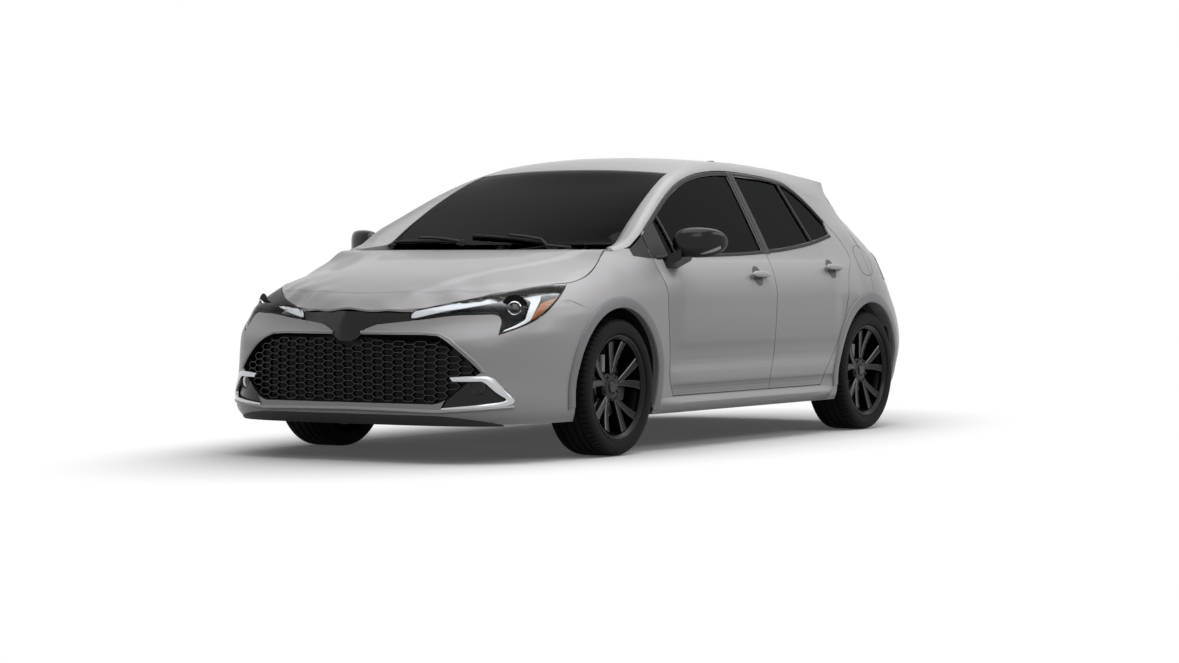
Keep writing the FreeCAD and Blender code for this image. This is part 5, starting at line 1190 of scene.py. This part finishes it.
def pad_points(path, half, thick, middle_y=0.0, bolster=.2, channels=5, sides=40, stations=44):
    """Closed pad whose middle runs along (x, z) points; thick gives its half thickness at both ends."""
    points = []
    for u in between(0, 1, stations):
        x, z = bent(path, u)
        xa, za = bent(path, max(0.0, u - .03))
        xb, zb = bent(path, min(1.0, u + .03))
        up = Vector((za - zb, 0, xb - xa)).normalized()
        # The crowned face looks forward or up.
        if up.x < 0 and abs(up.x) > abs(up.z) or up.z < 0 and abs(up.z) >= abs(up.x):
            up = -up
        end = (1 - abs(2 * u - 1) ** 7) ** .5 if 0 < u < 1 else .04
        wide = half * (1 - .035 * sin(pi * u)) * (.86 + .14 * end)
        deep = (thick[0] + (thick[1] - thick[0]) * u) * max(.04, end)
        groove = 3.0 * sum(max(0.0, 1 - abs(u - (c + .5) / channels) / .014) for c in range(channels))
        for a in round_angles(sides):
            y, h = wide * squared(cos(a), .62), deep * squared(sin(a), .62)
            v = abs(y) / half
            if sin(a) > 0:
                sunk = bolster * (1 - min(1.0, v / SEAM) ** 4) * (v < SEAM)
                h *= 1 - sunk - bolster * .3 * max(0.0, v - .8)
                h -= groove * (v < .6) + 2.5 * max(0.0, 1 - abs(v - SEAM) / .03)
            points.append(Vector((x, middle_y + y, z)) + up * h)
    return points, capped(stations, sides)


def seat_pad(name, path, half, thick, middle_y, replaced, **more):
    """A pad of a seat, in cloth."""
    made = piece(name, *pad_points(path, half, thick, middle_y, **more), cloth, "body", soften=55, closed=True)
    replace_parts(made, replaced)


def seat_metal(name, points, faces, look, **more):
    """A metal part of a front seat."""
    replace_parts(piece(name, points, faces, look, "body", **more), "front_seats")


SEAT_Y = 385
for side, k in SIDES:
    middle_y = k * SEAT_Y
    seat_pad("front_cushion_" + side, [(446, 352), (300, 356), (-40, 336)], 236, (52, 46), middle_y, "front_seats",
             channels=4)
    seat_pad("front_backrest_" + side, [(-82, 385), (-185, 680), (-252, 925)], 232, (44, 34), middle_y,
             "front_seats", channels=6)
    seat_pad("front_headrest_" + side, [(-266, 985), (-272, 1060), (-288, 1128)], 128, (38, 30), middle_y,
             "front_seats", bolster=.05, channels=0, stations=24)
    for tag, dy in (("inner", -53), ("outer", 53)):
        stem = [Vector((-262 + 6 * cos(a), middle_y + dy + 6 * sin(a), z)) for z in (915, 1000)
                for a in round_angles(12)]
        seat_metal("headrest_stem_%s_%s" % (tag, side), stem, net(2, 12, False, True), steel)
    for tag, dy in (("inner", -190), ("outer", 190)):
        bar = [Vector((x, middle_y + dy + w, z)) for x in (-70, 380)
               for w, z in ((-18, 284), (-18, 306), (18, 306), (18, 284))]
        seat_metal("seat_rail_%s_%s" % (tag, side), bar, net(2, 4, False, True) + [(0, 1, 2, 3), (7, 6, 5, 4)],
                   black_steel, closed=True)
seat_pad("rear_cushion", [(-508, 386), (-700, 388), (-925, 372)], 588, (50, 44), 0, "rear_seat", bolster=.12,
         channels=3, sides=60)
seat_pad("rear_backrest", [(-990, 420), (-1098, 700), (-1160, 895)], 588, (42, 30), 0, "rear_seat", bolster=.12,
         channels=5, sides=60)
for tag, y in (("left", 370), ("middle", 0), ("right", -370)):
    seat_pad("rear_headrest_" + tag, [(-1166, 884), (-1166, 950), (-1168, 1008)], 118, (32, 26), y, "rear_seat",
             bolster=.05, channels=0, stations=24)

# Floor, light and camera.
FLOOR = bpy.data.materials.new("pale_studio_floor")
FLOOR.use_nodes = True


def seen_rays(tree):
    """Socket that is 1 for the rays that the camera, metal or glass shows."""
    rays = add(tree, "ShaderNodeLightPath")
    seen = add(tree, "ShaderNodeMath", {"operation": "MAXIMUM"}, i0=rays.outputs["Is Camera Ray"],
               i1=rays.outputs["Is Glossy Ray"])
    through = add(tree, "ShaderNodeMath", {"operation": "MAXIMUM"}, i0=seen.outputs[0],
                  i1=rays.outputs["Is Transmission Ray"])
    return through.outputs[0]


def floor_finish(tree):
    """Pale diffuse floor that keeps the shadow, and turns to plain white far from the car."""
    tree.nodes.clear()
    surface = add(tree, "ShaderNodeBsdfDiffuse", {"Color": linear("#E4E4E4")})
    glow = add(tree, "ShaderNodeEmission", {"Strength": .06})
    lit = add(tree, "ShaderNodeAddShader", (), i0=surface.outputs[0], i1=glow.outputs[0])
    white = add(tree, "ShaderNodeEmission", {"Strength": 1.0})
    place = add(tree, "ShaderNodeNewGeometry")
    flat = add(tree, "ShaderNodeVectorMath", {"operation": "MULTIPLY"}, i0=place.outputs["Position"])
    # The shadow's ground is an oval 2.2 m long and 1 m wide from its middle.
    flat.inputs[1].default_value = (1 / 2.2, 1, 0)
    far = add(tree, "ShaderNodeVectorMath", {"operation": "LENGTH"}, i0=flat.outputs[0])
    fade = {"From Min": 1.0, "From Max": 1.75, "interpolation_type": "SMOOTHSTEP"}
    share = add(tree, "ShaderNodeMapRange", fade, Value=far.outputs["Value"])
    both = add(tree, "ShaderNodeMixShader", (), i0=share.outputs[0], i1=lit.outputs[0], i2=white.outputs[0])
    bounce = add(tree, "ShaderNodeBsdfDiffuse", {"Color": linear("#8E8E8E")})
    out = add(tree, "ShaderNodeMixShader", (), i0=seen_rays(tree), i1=bounce.outputs[0], i2=both.outputs[0])
    add(tree, "ShaderNodeOutputMaterial", (), Surface=out.outputs[0])


floor_finish(FLOOR.node_tree)
floor_mesh = bpy.data.meshes.new("studio_floor")
floor_mesh.from_pydata([(-60, -60, 0), (60, -60, 0), (60, 60, 0), (-60, 60, 0)], [], [(0, 1, 2, 3)])
floor_mesh.materials.append(FLOOR)
studio_floor = bpy.data.objects.new("studio_floor", floor_mesh)
bpy.context.collection.objects.link(studio_floor)

world = bpy.data.worlds.new("studio")
bpy.context.scene.world = world
world.use_nodes = True
sky = world.node_tree
sky.nodes.clear()
dim = add(sky, "ShaderNodeBackground", {"Color": (1, 1, 1, 1), "Strength": .1})
bright = add(sky, "ShaderNodeBackground", {"Color": (1, 1, 1, 1), "Strength": 1.0})
mix = add(sky, "ShaderNodeMixShader", (), i0=seen_rays(sky), i1=dim.outputs[0], i2=bright.outputs[0])
add(sky, "ShaderNodeOutputWorld", (), Surface=mix.outputs[0])


def softbox(name, place, aim, width, height, watts):
    """Soft rectangular studio lamp."""
    data = bpy.data.lights.new(name, "AREA")
    data.shape = "RECTANGLE"
    data.size = width
    data.size_y = height
    data.energy = watts
    made = bpy.data.objects.new(name, data)
    made.location = place
    made.rotation_mode = "QUATERNION"
    made.rotation_quaternion = (Vector(aim) - Vector(place)).to_track_quat("-Z", "Y")
    bpy.context.collection.objects.link(made)


softbox("overhead_softbox", (0, 1.6, 5.2), (0, 1.6, 0), 9.0, 5.5, 310)
softbox("left_softbox", (-2.0, 7.0, 4.5), (-.6, .9, .8), 6.0, 2.0, 110)
softbox("front_left_softbox", (7.0, 5.0, 4.5), (0.5, 0, .7), 4.0, 2.5, 55)

camera_data = bpy.data.cameras.new("photo_camera")
camera_data.sensor_width = 36.0
camera_data.lens = 89.70
camera_data.clip_end = 200
camera = bpy.data.objects.new("photo_camera", camera_data)
yaw, pitch = radians(-149.0405), radians(-1.2614)
sight = Vector((cos(yaw) * cos(pitch), sin(yaw) * cos(pitch), sin(pitch)))
camera.location = (12.91668, 7.72150, .87451)
camera.rotation_mode = "QUATERNION"
camera.rotation_quaternion = sight.to_track_quat("-Z", "Y")
bpy.context.collection.objects.link(camera)
scene = bpy.context.scene
scene.camera = camera
scene.view_settings.view_transform = "Standard"
